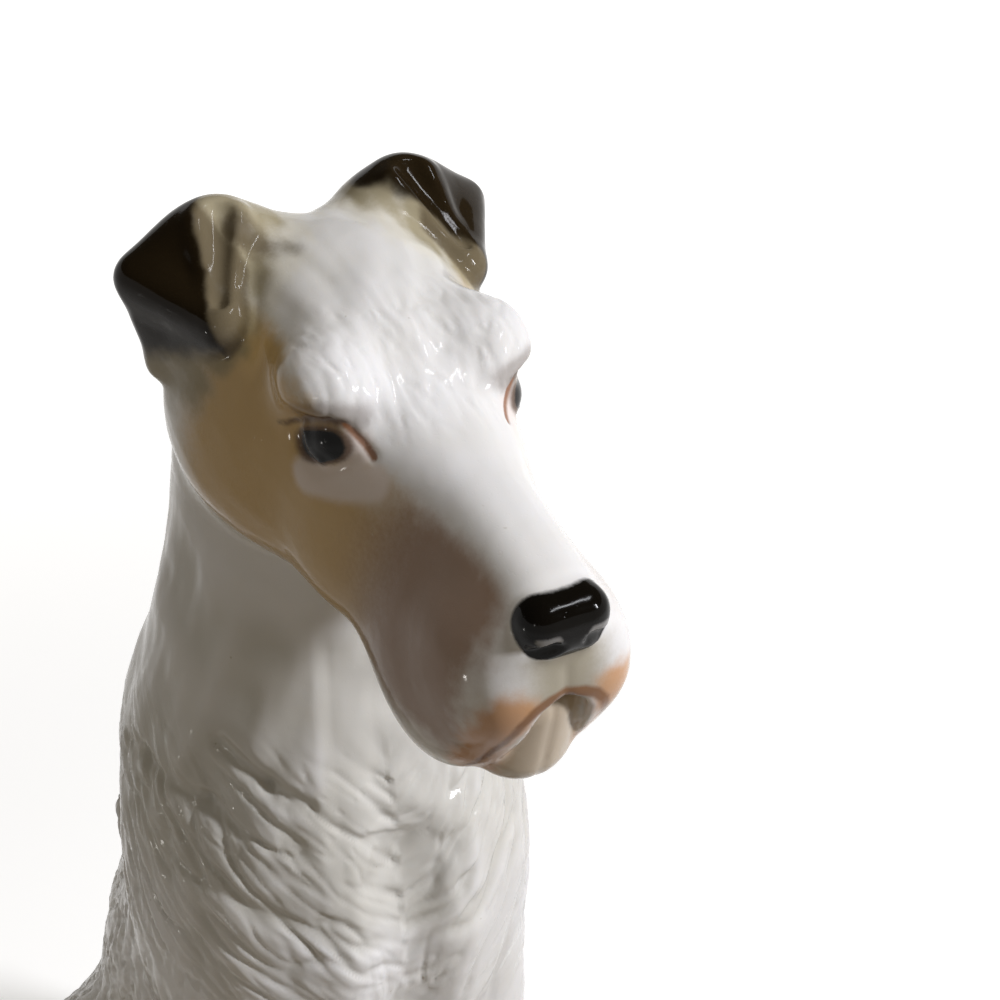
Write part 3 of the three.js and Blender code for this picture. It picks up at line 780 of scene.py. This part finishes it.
def whole_skin():
    points, quads = net(figure, GRID_LOW, GRID_HIGH, CELL)
    edges = edges_of(quads)
    points = settle(figure, points, 2, CELL)
    for _ in range(3):
        points = settle(figure, evened(points, edges, 0.6), 2, CELL)
    points, quads, _ = split(points, quads, np.ones(len(quads), bool))
    points = settle(figure, evened(points, edges_of(quads), 0.3), 2, CELL / 2)
    chosen = finest(points[:, quads].mean(axis=2))
    points, quads, mixed = split(points, quads, chosen)
    edges = edges_of(quads, mixed)
    points = settle(figure, points, 2, CELL / 3)
    points = settle(figure, evened(points, edges, 0.4), 1, CELL / 4)
    return points, quads, mixed


def face_middles(points, quads, mixed):
    others = [points[:, ring].mean(axis=1)[:, None] for ring in mixed]
    return np.hstack([points[:, quads].mean(axis=2)] + others)


# Paint and painted shade, worked out on the plain surface: weights from 0 to 1, or distances in
# millimetres

# Value of a drawn layer away from its strokes, in millimetres
FAR = 9.0

# Layers that hold a distance, and not a weight
DRAWN = ("eye", "lid", "tear", "nose", "nostril", "mouth")
FLANK_EDGE = curve([[-20, 9.5], [0, 9.2], [8, 8.2], [14, 6.2], [20, 4.6], [28, 3.4], [38, 4.2]])
FLANK_TOP = curve([[-20, 8], [-8, 12], [6, 12], [11, 8.5], [16, 7.5], [38, 7.5]])
LIP_LINE = [[0, 37, -2.9], [1.8, 37, -3.2], [3.0, 37.1, -3.8], [4.1, 36.8, -5.2], [4.8, 36.1, -7.2],
            [5.4, 34.5, -10.0], [5.8, 32.4, -13.2], [5.9, 30.6, -15.6]]
LIP_BLUSH = [[5.2, 36.8, -4.0], [6.2, 35.4, -7.4], [6.0, 33.6, -11.4], [5.9, 31.4, -14.8]]
BLUSH_FADE = 1.9

# Shares of the cheek's paint that are missing on the left side and under each eye
# The right side, away from the lamps, keeps all of it, so its darker cheek is partly painted shade
LEFT_SIDE_LACKS = 0.5
UNDER_EYE_LACKS = 0.45


def head_paint(local):
    side, forward, up = local
    q = mirrored(local, 0)
    out = q[0]
    rough = noise(side / 1.4, forward / 1.4, up / 1.4, 12)
    streak = noise(forward / 5.5, out / 1.3, up / 1.8, 13)
    made = ear_paint(q, rough, streak, side > 0) | eye_paint(q)
    flank = soft(out + 0.7 * rough - FLANK_EDGE(forward), -1.2, 1.6)
    flank = flank * soft(up + 0.8 * rough - FLANK_TOP(forward), 2.2, -3.0)
    under_eye = np.exp(-((forward - 12.5) / 4.0) ** 2 - ((up - 4.0) / 1.6) ** 2)
    flank = flank * soft(head_field(local), 1.2, 0.2)
    flank = flank * (1 - UNDER_EYE_LACKS * under_eye) * soft(forward, -15, -3)
    # Less on the left side, which faces the lamps: the right side's fuller paint is partly painted shade
    flank = flank * soft(up + rough, -16, -9) * (1 - LEFT_SIDE_LACKS * (side > 0))
    made["tan"] = flank * soft(forward, 28, 10)
    # Grey-brown on the muzzle sides: brown paint and painted shade
    made["umber_and_shade"] = flank * soft(forward, 6, 24) * soft(forward + rough, 37, 30)
    made["nose"] = np.minimum(np.maximum(nose_pad(q) - 0.25, 1.8 - up), FAR)
    made["nostril"] = limb(q, [1.9, 37.4, 4.2], [3.3, 36.9, 4.3], 0.6, 0.35)
    made["mouth"] = chain(q, LIP_LINE, 0.75, 0.18)
    blush = np.maximum(chain(q, LIP_BLUSH, 0.9, 0.7) + 0.5 * rough, 0)
    made["blush"] = bell(blush, BLUSH_FADE) * soft(forward, 25, 30)
    made["chin"] = soft(chin_pad(q), 0.6, 0.1) * soft(forward, 25, 30)
    lip = soft(up, 3.0, 1.2) * soft(up, -5.5, -3) * soft(forward, 32, 35)
    made["philtrum"] = bell(side, 4.6) * lip
    return made


# Brown and painted shade in the ear's pocket, brown on the hair in front of it: two ends and their radii
POCKET_BROWN_AND_SHADE = ([8.7, -13.9, 15.4], [7.3, -12.0, 14.9], 1.5, 1.0)
FRINGE_PAINT = ([7.4, -12.4, 14.8], [4.6, -9.8, 15.2], 1.5, 0.5)


def ear_paint(q, rough, streak, left):
    """Dark flap, brown and painted shade in the folds, olive root; more painted shade on the left ear."""
    ear = ear_field(q)
    start, end = (np.array(place) for place in EAR_FRONT_EDGE)
    down = (end - start) / math.sqrt((end - start) @ (end - start))
    across = np.array(EAR_BEND) - start
    across = across - (across @ down) * down
    beyond = across @ (q - start[:, None]) / math.sqrt(across @ across)
    on_ear = soft(ear, 1.2, 0.2)
    fade = soft(q[2] + 0.4 * rough - 0.55 * (q[1] + 13.6), 0.8, 5.6)
    dark = soft(beyond + 0.25 * rough, -1.1, 0.0) * fade
    # The left ear is made darker with painted shade
    left_ear_shade = soft(q[0] - 1.17 * (q[1] + 13) + 0.8 * streak, 7.4, 9.8) * soft(q[2] + rough, 3, 6)
    dark = np.maximum(dark, 0.92 * left_ear_shade * left) * on_ear
    # Brown in the groove between the ridges, partly paint and partly painted shade
    groove = soft(beyond, 0.4, -0.4) * soft(q[0] + 0.35 * (q[1] + 9) + 0.4 * streak, 7.3, 9.0)
    pocket_shade = soft(limb(q, *POCKET_BROWN_AND_SHADE) + 0.5 * streak, 1.3, -0.7)
    fringe = soft(limb(q, *FRINGE_PAINT) + 0.9 * streak, 1.4, -0.6)
    brown_and_shade = np.maximum(pocket_shade, 0.6 * fringe) * (1 - left)
    brown_and_shade = np.maximum(brown_and_shade, 0.95 * groove * on_ear * soft(q[1], -1, -4))
    olive = soft(ear + 1.6 * streak + 0.4 * rough, 4.2, -0.6) * soft(q[1], 0, -6)
    cream = soft(ear + 2.4 * streak, 8.0, 1.5) * soft(q[1], 3, -8) * soft(q[2], 5, 9)
    return {"ear_dark_and_shade": dark, "ear_brown_and_shade": brown_and_shade, "ear_olive": olive, "ear_cream": cream}


# The painted pupil in millimetres: half its length and height, its shift back and down
PUPIL_LENGTH = 3.0
PUPIL_HEIGHT = 1.55
PUPIL_SHIFT = 0.6

# The power that makes its outline squarer than an ellipse, and its mean radius
PUPIL_SQUARENESS = 2.5
PUPIL_RADIUS = 1.9

# Strokes drawn on the eye
SHADE_STROKE = [[-2.4, 1.9, 0], [0, 3.3, 0], [2.2, 3.4, 0]]
PINK_UNDER = [[-1.8, -4.4, 0], [2.2, -3.2, 0], [6.0, -1.4, 0]]
PINK_CORNER = [[2.6, -2.6, 0], [3.0, -1.2, 0], [3.0, 0.8, 0]]


def eye_paint(q):
    near = np.flatnonzero(length(q - EYE[:, None]) < EYE_REACH)
    spot = on_eye(q[:, near])
    ahead, above = spot[0] + PUPIL_SHIFT, spot[1] + PUPIL_SHIFT
    length_way = math.cos(EYE_TILT) * ahead + math.sin(EYE_TILT) * above
    height_way = math.cos(EYE_TILT) * above - math.sin(EYE_TILT) * ahead
    power = PUPIL_SQUARENESS
    oval = np.abs(length_way / PUPIL_LENGTH) ** power + np.abs(height_way / PUPIL_HEIGHT) ** power
    oval = (oval ** (1 / power) - 1) * PUPIL_RADIUS
    shade = chain(spot, SHADE_STROKE, 0.6, 0.5)
    pink = np.minimum(chain(spot, PINK_UNDER, 0.9, 0.6), chain(spot, PINK_CORNER, 0.5, 0.6))
    layers = {
        "eye": oval,
        "lid": chain(spot, LID_LINE, 0.16, 0.50),
        "tear": chain(spot, TEAR_STROKE, 0.30, 0.36),
        "eye_ring": bell(np.maximum(oval, 0), 0.55),
        "eye_shade": bell(np.maximum(shade, 0), 1.1),
        "eye_pink": bell(np.maximum(pink, 0), 1.1),
    }
    return spread(layers, near, q.shape[1])


def spread(layers, touched, count):
    """Each layer over all points, from its values at the touched ones."""
    made = {}
    for name, value in layers.items():
        made[name] = np.full(count, FAR if name in DRAWN else 0.0)
        made[name][touched] = value
    return made


PAINT_MARGIN = 6


def paint(p):
    """All layers, those of the head reaching a little way below the seam."""
    head = np.flatnonzero(seam_height(p) > SEAM_LEVEL - PAINT_MARGIN)
    made = spread(head_paint(in_head(p[:, head])), head, p.shape[1])
    made["foot"] = soft(p[2], 0.8, 0.3)
    return made


# Node materials

def new_material(name):
    material = bpy.data.materials.new(name)
    material.use_nodes = True
    tree = material.node_tree
    tree.nodes.clear()
    output = tree.nodes.new("ShaderNodeOutputMaterial")
    shader = tree.nodes.new("ShaderNodeBsdfPrincipled")
    tree.links.new(shader.outputs[0], output.inputs[0])
    return material, tree, shader


def attribute(tree, name):
    node = tree.nodes.new("ShaderNodeAttribute")
    node.attribute_name = name
    return node.outputs["Fac"]


def band(tree, value, low, high, top=1.0, bottom=0.0):
    """A smooth step of the value from bottom at low to top at high."""
    node = tree.nodes.new("ShaderNodeMapRange")
    node.interpolation_type = "SMOOTHSTEP"
    tree.links.new(value, node.inputs["Value"])
    node.inputs["From Min"].default_value = low
    node.inputs["From Max"].default_value = high
    node.inputs["To Min"].default_value = bottom
    node.inputs["To Max"].default_value = top
    return node.outputs["Result"]


def sums(tree, operation, first, second):
    """The result of a sum, product or the like of two sockets or numbers."""
    node = tree.nodes.new("ShaderNodeMath")
    node.operation = operation
    for socket, value in zip(node.inputs, (first, second)):
        if isinstance(value, (int, float)):
            socket.default_value = value
        else:
            tree.links.new(value, socket)
    return node.outputs[0]


def over(tree, below, colour, weight):
    """The colour laid over what is below, by a weight from 0 to 1."""
    node = tree.nodes.new("ShaderNodeMix")
    node.data_type = "RGBA"
    tree.links.new(weight, node.inputs[0])
    for socket, value in ((node.inputs[6], below), (node.inputs[7], colour)):
        if isinstance(value, tuple):
            socket.default_value = (*value, 1)
        else:
            tree.links.new(value, socket)
    return node.outputs[2]


def grain(tree, scale, detail, roughness=0.55):
    """A noise over the object, its scale in turns for each millimetre."""
    place = tree.nodes.new("ShaderNodeTexCoord")
    node = tree.nodes.new("ShaderNodeTexNoise")
    node.inputs["Scale"].default_value = scale / MM
    node.inputs["Detail"].default_value = detail
    node.inputs["Roughness"].default_value = roughness
    tree.links.new(place.outputs["Object"], node.inputs["Vector"])
    return node.outputs[0]


WHITE = (0.80, 0.79, 0.79)
CREAM = (0.70, 0.66, 0.55)
# Colour of the valleys, partly pooled glaze and partly painted shade
POOLED_GLAZE_AND_SHADE = (0.50, 0.48, 0.41)
OLIVE = (0.31, 0.26, 0.15)
FRINGE_AND_FOLD_SHADE = (0.085, 0.06, 0.03)
DARK = (0.016, 0.010, 0.004)
TAN = (0.62, 0.42, 0.17)
# Grey-brown of the muzzle sides, partly paint and partly painted shade
UMBER_AND_SHADE = (0.33, 0.205, 0.135)
RUST = (0.27, 0.105, 0.035)
LINE = (0.10, 0.05, 0.022)
BLUSH = (0.62, 0.31, 0.12)
PINK = (0.82, 0.73, 0.69)
MOUTH = (0.23, 0.092, 0.025)
CHIN = (0.62, 0.49, 0.33)
BLACK = (0.004, 0.003, 0.002)
GREY = (0.34, 0.33, 0.32)
BISQUE = (0.60, 0.55, 0.47)

# Values of a sprayed layer at which its paint starts and covers
SPRAY_BAND = (0.08, 0.95)

# Roughness of the glaze and its specular level, which is low because the floor is white
BODY_GLOSS = (0.12, 0.10)
HEAD_GLOSS = (0.09, 0.08)
EAR_GLOSS = (0.08, 0.08)
BISQUE_ROUGHNESS = 0.7
GLAZE_IOR = 1.52

# Relief of the glaze: turns of its waves and pits for each millimetre, and its height
SWELL_TURNS = 0.16
PIT_TURNS = 2.6
PIT_SHARE = 0.02
GLAZE_STRENGTH = 0.35
GLAZE_HEIGHT = 0.5 * MM


def glaze(tree, shader, colour, roughness, specular):
    """Clear glossy glaze with slow waves and fine pits over the colour."""
    swell = grain(tree, SWELL_TURNS, 2.0)
    pits = band(tree, grain(tree, PIT_TURNS, 1.0), 0.30, 0.36)
    height = sums(tree, "ADD", swell, sums(tree, "MULTIPLY", pits, PIT_SHARE))
    bump = tree.nodes.new("ShaderNodeBump")
    bump.inputs["Strength"].default_value = GLAZE_STRENGTH
    bump.inputs["Distance"].default_value = GLAZE_HEIGHT
    tree.links.new(height, bump.inputs["Height"])
    tree.links.new(bump.outputs[0], shader.inputs["Normal"])
    foot = attribute(tree, "foot")
    colour = over(tree, colour, BISQUE, foot)
    tree.links.new(colour, shader.inputs["Base Color"])
    gloss = band(tree, grain(tree, 0.5, 3.0), 0.35, 0.75, roughness * 1.5, roughness)
    rough = sums(tree, "MAXIMUM", gloss, sums(tree, "MULTIPLY", foot, BISQUE_ROUGHNESS))
    tree.links.new(rough, shader.inputs["Roughness"])
    shader.inputs["IOR"].default_value = GLAZE_IOR
    shader.inputs["Specular IOR Level"].default_value = specular
    shader.inputs["Subsurface Weight"].default_value = 0.10
    shader.inputs["Subsurface Radius"].default_value = (1.0, 0.8, 0.6)
    shader.inputs["Subsurface Scale"].default_value = 1.2 * MM


def clay_colour(tree):
    """Off-white body under the glaze, darker and warmer in the valleys: pooled glaze and painted shade."""
    cloud = band(tree, grain(tree, 0.05, 3.0), 0.35, 0.7)
    colour = over(tree, WHITE, CREAM, sums(tree, "MULTIPLY", cloud, 0.28))
    # The deeper the relief, the more pooled glaze and painted shade
    valley_shade = band(tree, attribute(tree, "valley_shade"), 0.05, 0.9)
    colour = over(tree, colour, POOLED_GLAZE_AND_SHADE, sums(tree, "MULTIPLY", valley_shade, 0.5))
    speck = band(tree, grain(tree, 0.8, 2.0), 0.74, 0.80)
    return over(tree, colour, OLIVE, sums(tree, "MULTIPLY", speck, 0.35))


def body_material():
    material, tree, shader = new_material(BODY_SLOT)
    glaze(tree, shader, clay_colour(tree), *BODY_GLOSS)
    return material


def painted_head(name, gloss):
    """Paint and painted shade over the clay, sprayed and brushed, the lowest layer first, and the glaze
    over it.
    """
    material, tree, shader = new_material(name)
    spray = grain(tree, 1.6, 4.0, 0.7)
    colour = clay_colour(tree)

    def frayed(layer, amount):
        """The layer's value, made uneven by the grain of the spray."""
        uneven = sums(tree, "MULTIPLY", sums(tree, "SUBTRACT", spray, 0.5), amount)
        return sums(tree, "ADD", attribute(tree, layer), uneven)

    def sprayed(layer, paint_colour, strength, loose=0.25):
        nonlocal colour
        weight = sums(tree, "MULTIPLY", band(tree, frayed(layer, loose), *SPRAY_BAND), strength)
        colour = over(tree, colour, paint_colour, weight)

    def brushed(layer, paint_colour, edge, strength=1.0):
        nonlocal colour
        weight = band(tree, frayed(layer, edge), edge, -edge, strength)
        colour = over(tree, colour, paint_colour, weight)

    sprayed("ear_cream", CREAM, 0.7)
    sprayed("tan", TAN, 0.95)
    # Brown paint and painted shade on the muzzle sides
    sprayed("umber_and_shade", UMBER_AND_SHADE, 0.9)
    sprayed("philtrum", OLIVE, 0.75)
    sprayed("chin", CHIN, 0.75)
    sprayed("ear_olive", OLIVE, 0.85)
    # Brown paint on the ear's hair, and painted shade in its groove and pocket
    sprayed("ear_brown_and_shade", FRINGE_AND_FOLD_SHADE, 0.75)
    sprayed("eye_pink", PINK, 0.85)
    sprayed("eye_shade", LINE, 0.45)
    sprayed("blush", BLUSH, 0.85)
    brushed("mouth", MOUTH, 0.30, 0.85)
    # Dark brown paint on the flaps, and painted shade that darkens the left ear
    sprayed("ear_dark_and_shade", DARK, 1.0, 0.15)
    sprayed("eye_ring", LINE, 0.9)
    brushed("lid", LINE, 0.32, 0.8)
    brushed("tear", RUST, 0.20, 0.85)
    brushed("eye", BLACK, 0.18)
    brushed("nose", BLACK, 0.12)
    brushed("nostril", GREY, 0.22, 0.75)
    glaze(tree, shader, colour, *gloss)
    return material


# Pieces

def build(name, points, faces, normals, layers, material, node):
    mesh = bpy.data.meshes.new(name)
    rings = list(faces)
    used, place = np.unique(np.concatenate(rings), return_inverse=True)
    sizes = np.array([len(ring) for ring in rings])
    starts = np.concatenate([[0], np.cumsum(sizes)[:-1]])
    mesh.vertices.add(len(used))
    mesh.vertices.foreach_set("co", points[:, used].T.astype(np.float32).ravel())
    mesh.loops.add(len(place))
    mesh.loops.foreach_set("vertex_index", place.astype(np.int32))
    mesh.polygons.add(len(rings))
    mesh.polygons.foreach_set("loop_start", starts.astype(np.int32))
    mesh.update(calc_edges=True)
    mesh.validate()
    for layer, value in layers.items():
        made = mesh.attributes.new(layer, "FLOAT", "POINT")
        made.data.foreach_set("value", value[used].astype(np.float32))
    mesh.normals_split_custom_set_from_vertices(normals[:, used].T)
    mesh.materials.append(material)
    piece = bpy.data.objects.new(name, mesh)
    bpy.context.collection.objects.link(piece)
    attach(piece, "root")
    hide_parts(node)


def vertex_normals(points, quads, mixed):
    """Normals of the whole skin, so that light runs on smoothly from piece to piece."""
    total = np.zeros_like(points)
    cross = np.cross(points[:, quads[:, 2]] - points[:, quads[:, 0]],
                     points[:, quads[:, 3]] - points[:, quads[:, 1]], axis=0)
    for corner in range(4):
        for axis in range(3):
            total[axis] += np.bincount(quads[:, corner], cross[axis], points.shape[1])
    for ring in mixed:
        corner = points[:, ring]
        normal = np.cross(corner, np.roll(corner, -1, axis=1), axis=0).sum(axis=1)
        total[:, ring] += normal[:, None]
    return total / np.maximum(length(total), 1e-12)


def to_frame(points):
    """From the sculpt's millimetres to the frame's metres."""
    return (points - point([0, FRAME_SHIFT, 0])) * MM


def dress():
    plain, quads, mixed = whole_skin()
    out = slope(figure, plain)
    depth = relief(plain)
    points = plain - out / length(out) * depth
    low, high = (point(corner) for corner in cad_box)
    layers = paint(plain)
    # The relief's depth, which darkens the valleys with pooled glaze and painted shade
    layers["valley_shade"] = depth
    normals = vertex_normals(points, quads, mixed)
    points = np.clip(to_frame(points), low, high)
    label = castings(face_middles(plain, quads, mixed))
    materials = {
        BODY_SLOT: body_material(),
        HEAD_SLOT: painted_head(HEAD_SLOT, HEAD_GLOSS),
        EAR_SLOT: painted_head(EAR_SLOT, EAR_GLOSS),
    }
    faces = np.empty(len(label), object)
    faces[:] = list(quads) + mixed
    for number, (node, slot) in enumerate(PIECES):
        name = node.replace("_casting", "") + "_glazed"
        build(name, points, faces[label == number], normals, layers, materials[slot], node)


dress()


# Floor, light and camera

HEAD_CENTRE = (0, -HEAD_FORWARD * MM - FRAME_SHIFT * MM, HEAD_HEIGHT * MM)
DAYLIGHT = (0.945, 0.955, 1.0)
WARM_LIGHT = (1.0, 0.97, 0.92)

# Name, direction from the head, distance, width and height in metres, watts and colour
LAMPS = (
    ("window", (0.60, -0.67, 0.44), 0.70, (0.06, 0.17), 4.15, DAYLIGHT),
    ("skylight", (0.43, -0.33, 0.84), 0.55, (0.20, 0.03), 0.95, DAYLIGHT),
    ("side_light", (-0.80, -0.51, 0.30), 0.60, (0.014, 0.018), 0.15, WARM_LIGHT),
    ("low_light", (-0.96, 0.10, -0.27), 0.40, (0.02, 0.02), 0.10, WARM_LIGHT),
)

FLOOR_RADIUS = 2.2
FLOOR_BEND = 0.7
FLOOR_SIDES = 72
BEND_STEPS = 10
BACKDROP_HEIGHT = 1.1

# Two colours of the floor for the light that it bounces, and one for the eye
FLOOR_LIT = ((0.24, 0.19, 0.12), (0.22, 0.175, 0.11))
FLOOR_SEEN = (0.92, 0.92, 0.91)

# The floor's glow falls towards the figure: two distances, the glow beyond and within them
GLOW_NEAR = 0.12
GLOW_FAR = 0.45
GLOW_BEYOND = 0.98
GLOW_WITHIN = 0.46

FILL_COLOUR = (1.0, 0.89, 0.70, 1)
FILL_STRENGTH = 0.15

# The camera's place round the head, in radians and millimetres, and its lens
CAMERA_AZIMUTH = math.radians(-28)
CAMERA_ELEVATION = math.radians(33)
CAMERA_DISTANCE = 230
CAMERA_RIGHT = 11.3
CAMERA_DOWN = 7.5
SENSOR_WIDTH = 36
LENS_WIDTHS = 2.43


def lamp(name, towards, reach, size, power, colour):
    """A rectangular lamp that faces the head and that the camera doesn't see."""
    light = bpy.data.lights.new(name, "AREA")
    light.shape = "RECTANGLE"
    light.size, light.size_y = size
    light.energy = power
    light.color = colour
    made = bpy.data.objects.new(name, light)
    direction = Vector(towards).normalized()
    made.location = Vector(HEAD_CENTRE) + direction * reach
    made.rotation_euler = direction.to_track_quat("Z", "Y").to_euler()
    made.visible_camera = False
    bpy.context.collection.objects.link(made)


def backdrop():
    """A pale floor that curves up into a low round backdrop."""
    profile = [(0.0, 0.0), (0.6, 0.0), (1.4, 0.0), (FLOOR_RADIUS, 0.0)]
    for step in range(1, BEND_STEPS + 1):
        angle = math.pi / 2 * step / BEND_STEPS
        rise = FLOOR_BEND * (1 - math.cos(angle))
        profile.append((FLOOR_RADIUS + FLOOR_BEND * math.sin(angle), rise))
    profile.append((FLOOR_RADIUS + FLOOR_BEND, BACKDROP_HEIGHT))
    sides = FLOOR_SIDES
    points = [(0.0, 0.0, 0.0)]
    for reach, height in profile[1:]:
        for side in range(sides):
            angle = 2 * math.pi * side / sides
            points.append((reach * math.cos(angle), reach * math.sin(angle), height))
    faces = [(0, 1 + side, 1 + (side + 1) % sides) for side in range(sides)]
    for ring in range(len(profile) - 2):
        near, far = 1 + ring * sides, 1 + (ring + 1) * sides
        for side in range(sides):
            after = (side + 1) % sides
            faces.append((near + side, far + side, far + after, near + after))
    mesh = bpy.data.meshes.new("floor")
    mesh.from_pydata(points, [], faces)
    mesh.polygons.foreach_set("use_smooth", [True] * len(faces))
    made = bpy.data.objects.new("floor", mesh)
    bpy.context.collection.objects.link(made)
    mesh.materials.append(pale_floor())


def pale_floor():
    """White to the eye and in reflections, and a dim warm bounce for the light on the figure."""
    material, tree, shader = new_material("pale_floor")
    shader.inputs["Roughness"].default_value = 0.9
    shader.inputs["Specular IOR Level"].default_value = 0.1
    path = tree.nodes.new("ShaderNodeLightPath")
    seen = sums(tree, "MAXIMUM", path.outputs["Is Camera Ray"], path.outputs["Is Glossy Ray"])
    seen = sums(tree, "MAXIMUM", seen, path.outputs["Is Transmission Ray"])
    warm = over(tree, *FLOOR_LIT, grain(tree, 0.004, 2.0))
    tree.links.new(over(tree, warm, FLOOR_SEEN, seen), shader.inputs["Base Color"])
    shader.inputs["Emission Color"].default_value = (1, 1, 1, 1)
    place = tree.nodes.new("ShaderNodeTexCoord")
    reach = tree.nodes.new("ShaderNodeVectorMath")
    reach.operation = "LENGTH"
    tree.links.new(place.outputs["Object"], reach.inputs[0])
    glow = band(tree, reach.outputs["Value"], GLOW_NEAR, GLOW_FAR, GLOW_BEYOND, GLOW_WITHIN)
    tree.links.new(sums(tree, "MULTIPLY", seen, glow), shader.inputs["Emission Strength"])
    return material


def world():
    made = bpy.data.worlds.new("studio")
    bpy.context.scene.world = made
    made.use_nodes = True
    fill = made.node_tree.nodes["Background"]
    fill.inputs["Color"].default_value = FILL_COLOUR
    fill.inputs["Strength"].default_value = FILL_STRENGTH


def camera():
    azimuth, elevation = CAMERA_AZIMUTH, CAMERA_ELEVATION
    flat_reach = math.cos(elevation)
    back = Vector((math.sin(azimuth) * flat_reach, -math.cos(azimuth) * flat_reach, math.sin(elevation)))
    right = Vector((math.cos(azimuth), math.sin(azimuth), 0))
    up = back.cross(right)
    data = bpy.data.cameras.new("camera")
    data.sensor_width = SENSOR_WIDTH
    data.lens = SENSOR_WIDTH * LENS_WIDTHS
    data.clip_start = 0.01
    made = bpy.data.objects.new("camera", data)
    offset = right * CAMERA_RIGHT - up * CAMERA_DOWN + back * CAMERA_DISTANCE
    made.matrix_world = Matrix((right, up, back)).transposed().to_4x4()
    made.location = Vector(HEAD_CENTRE) + offset * MM
    bpy.context.collection.objects.link(made)
    bpy.context.scene.camera = made


backdrop()
world()
for setting in LAMPS:
    lamp(*setting)
camera()
scene = bpy.context.scene
scene.view_settings.view_transform = "Standard"
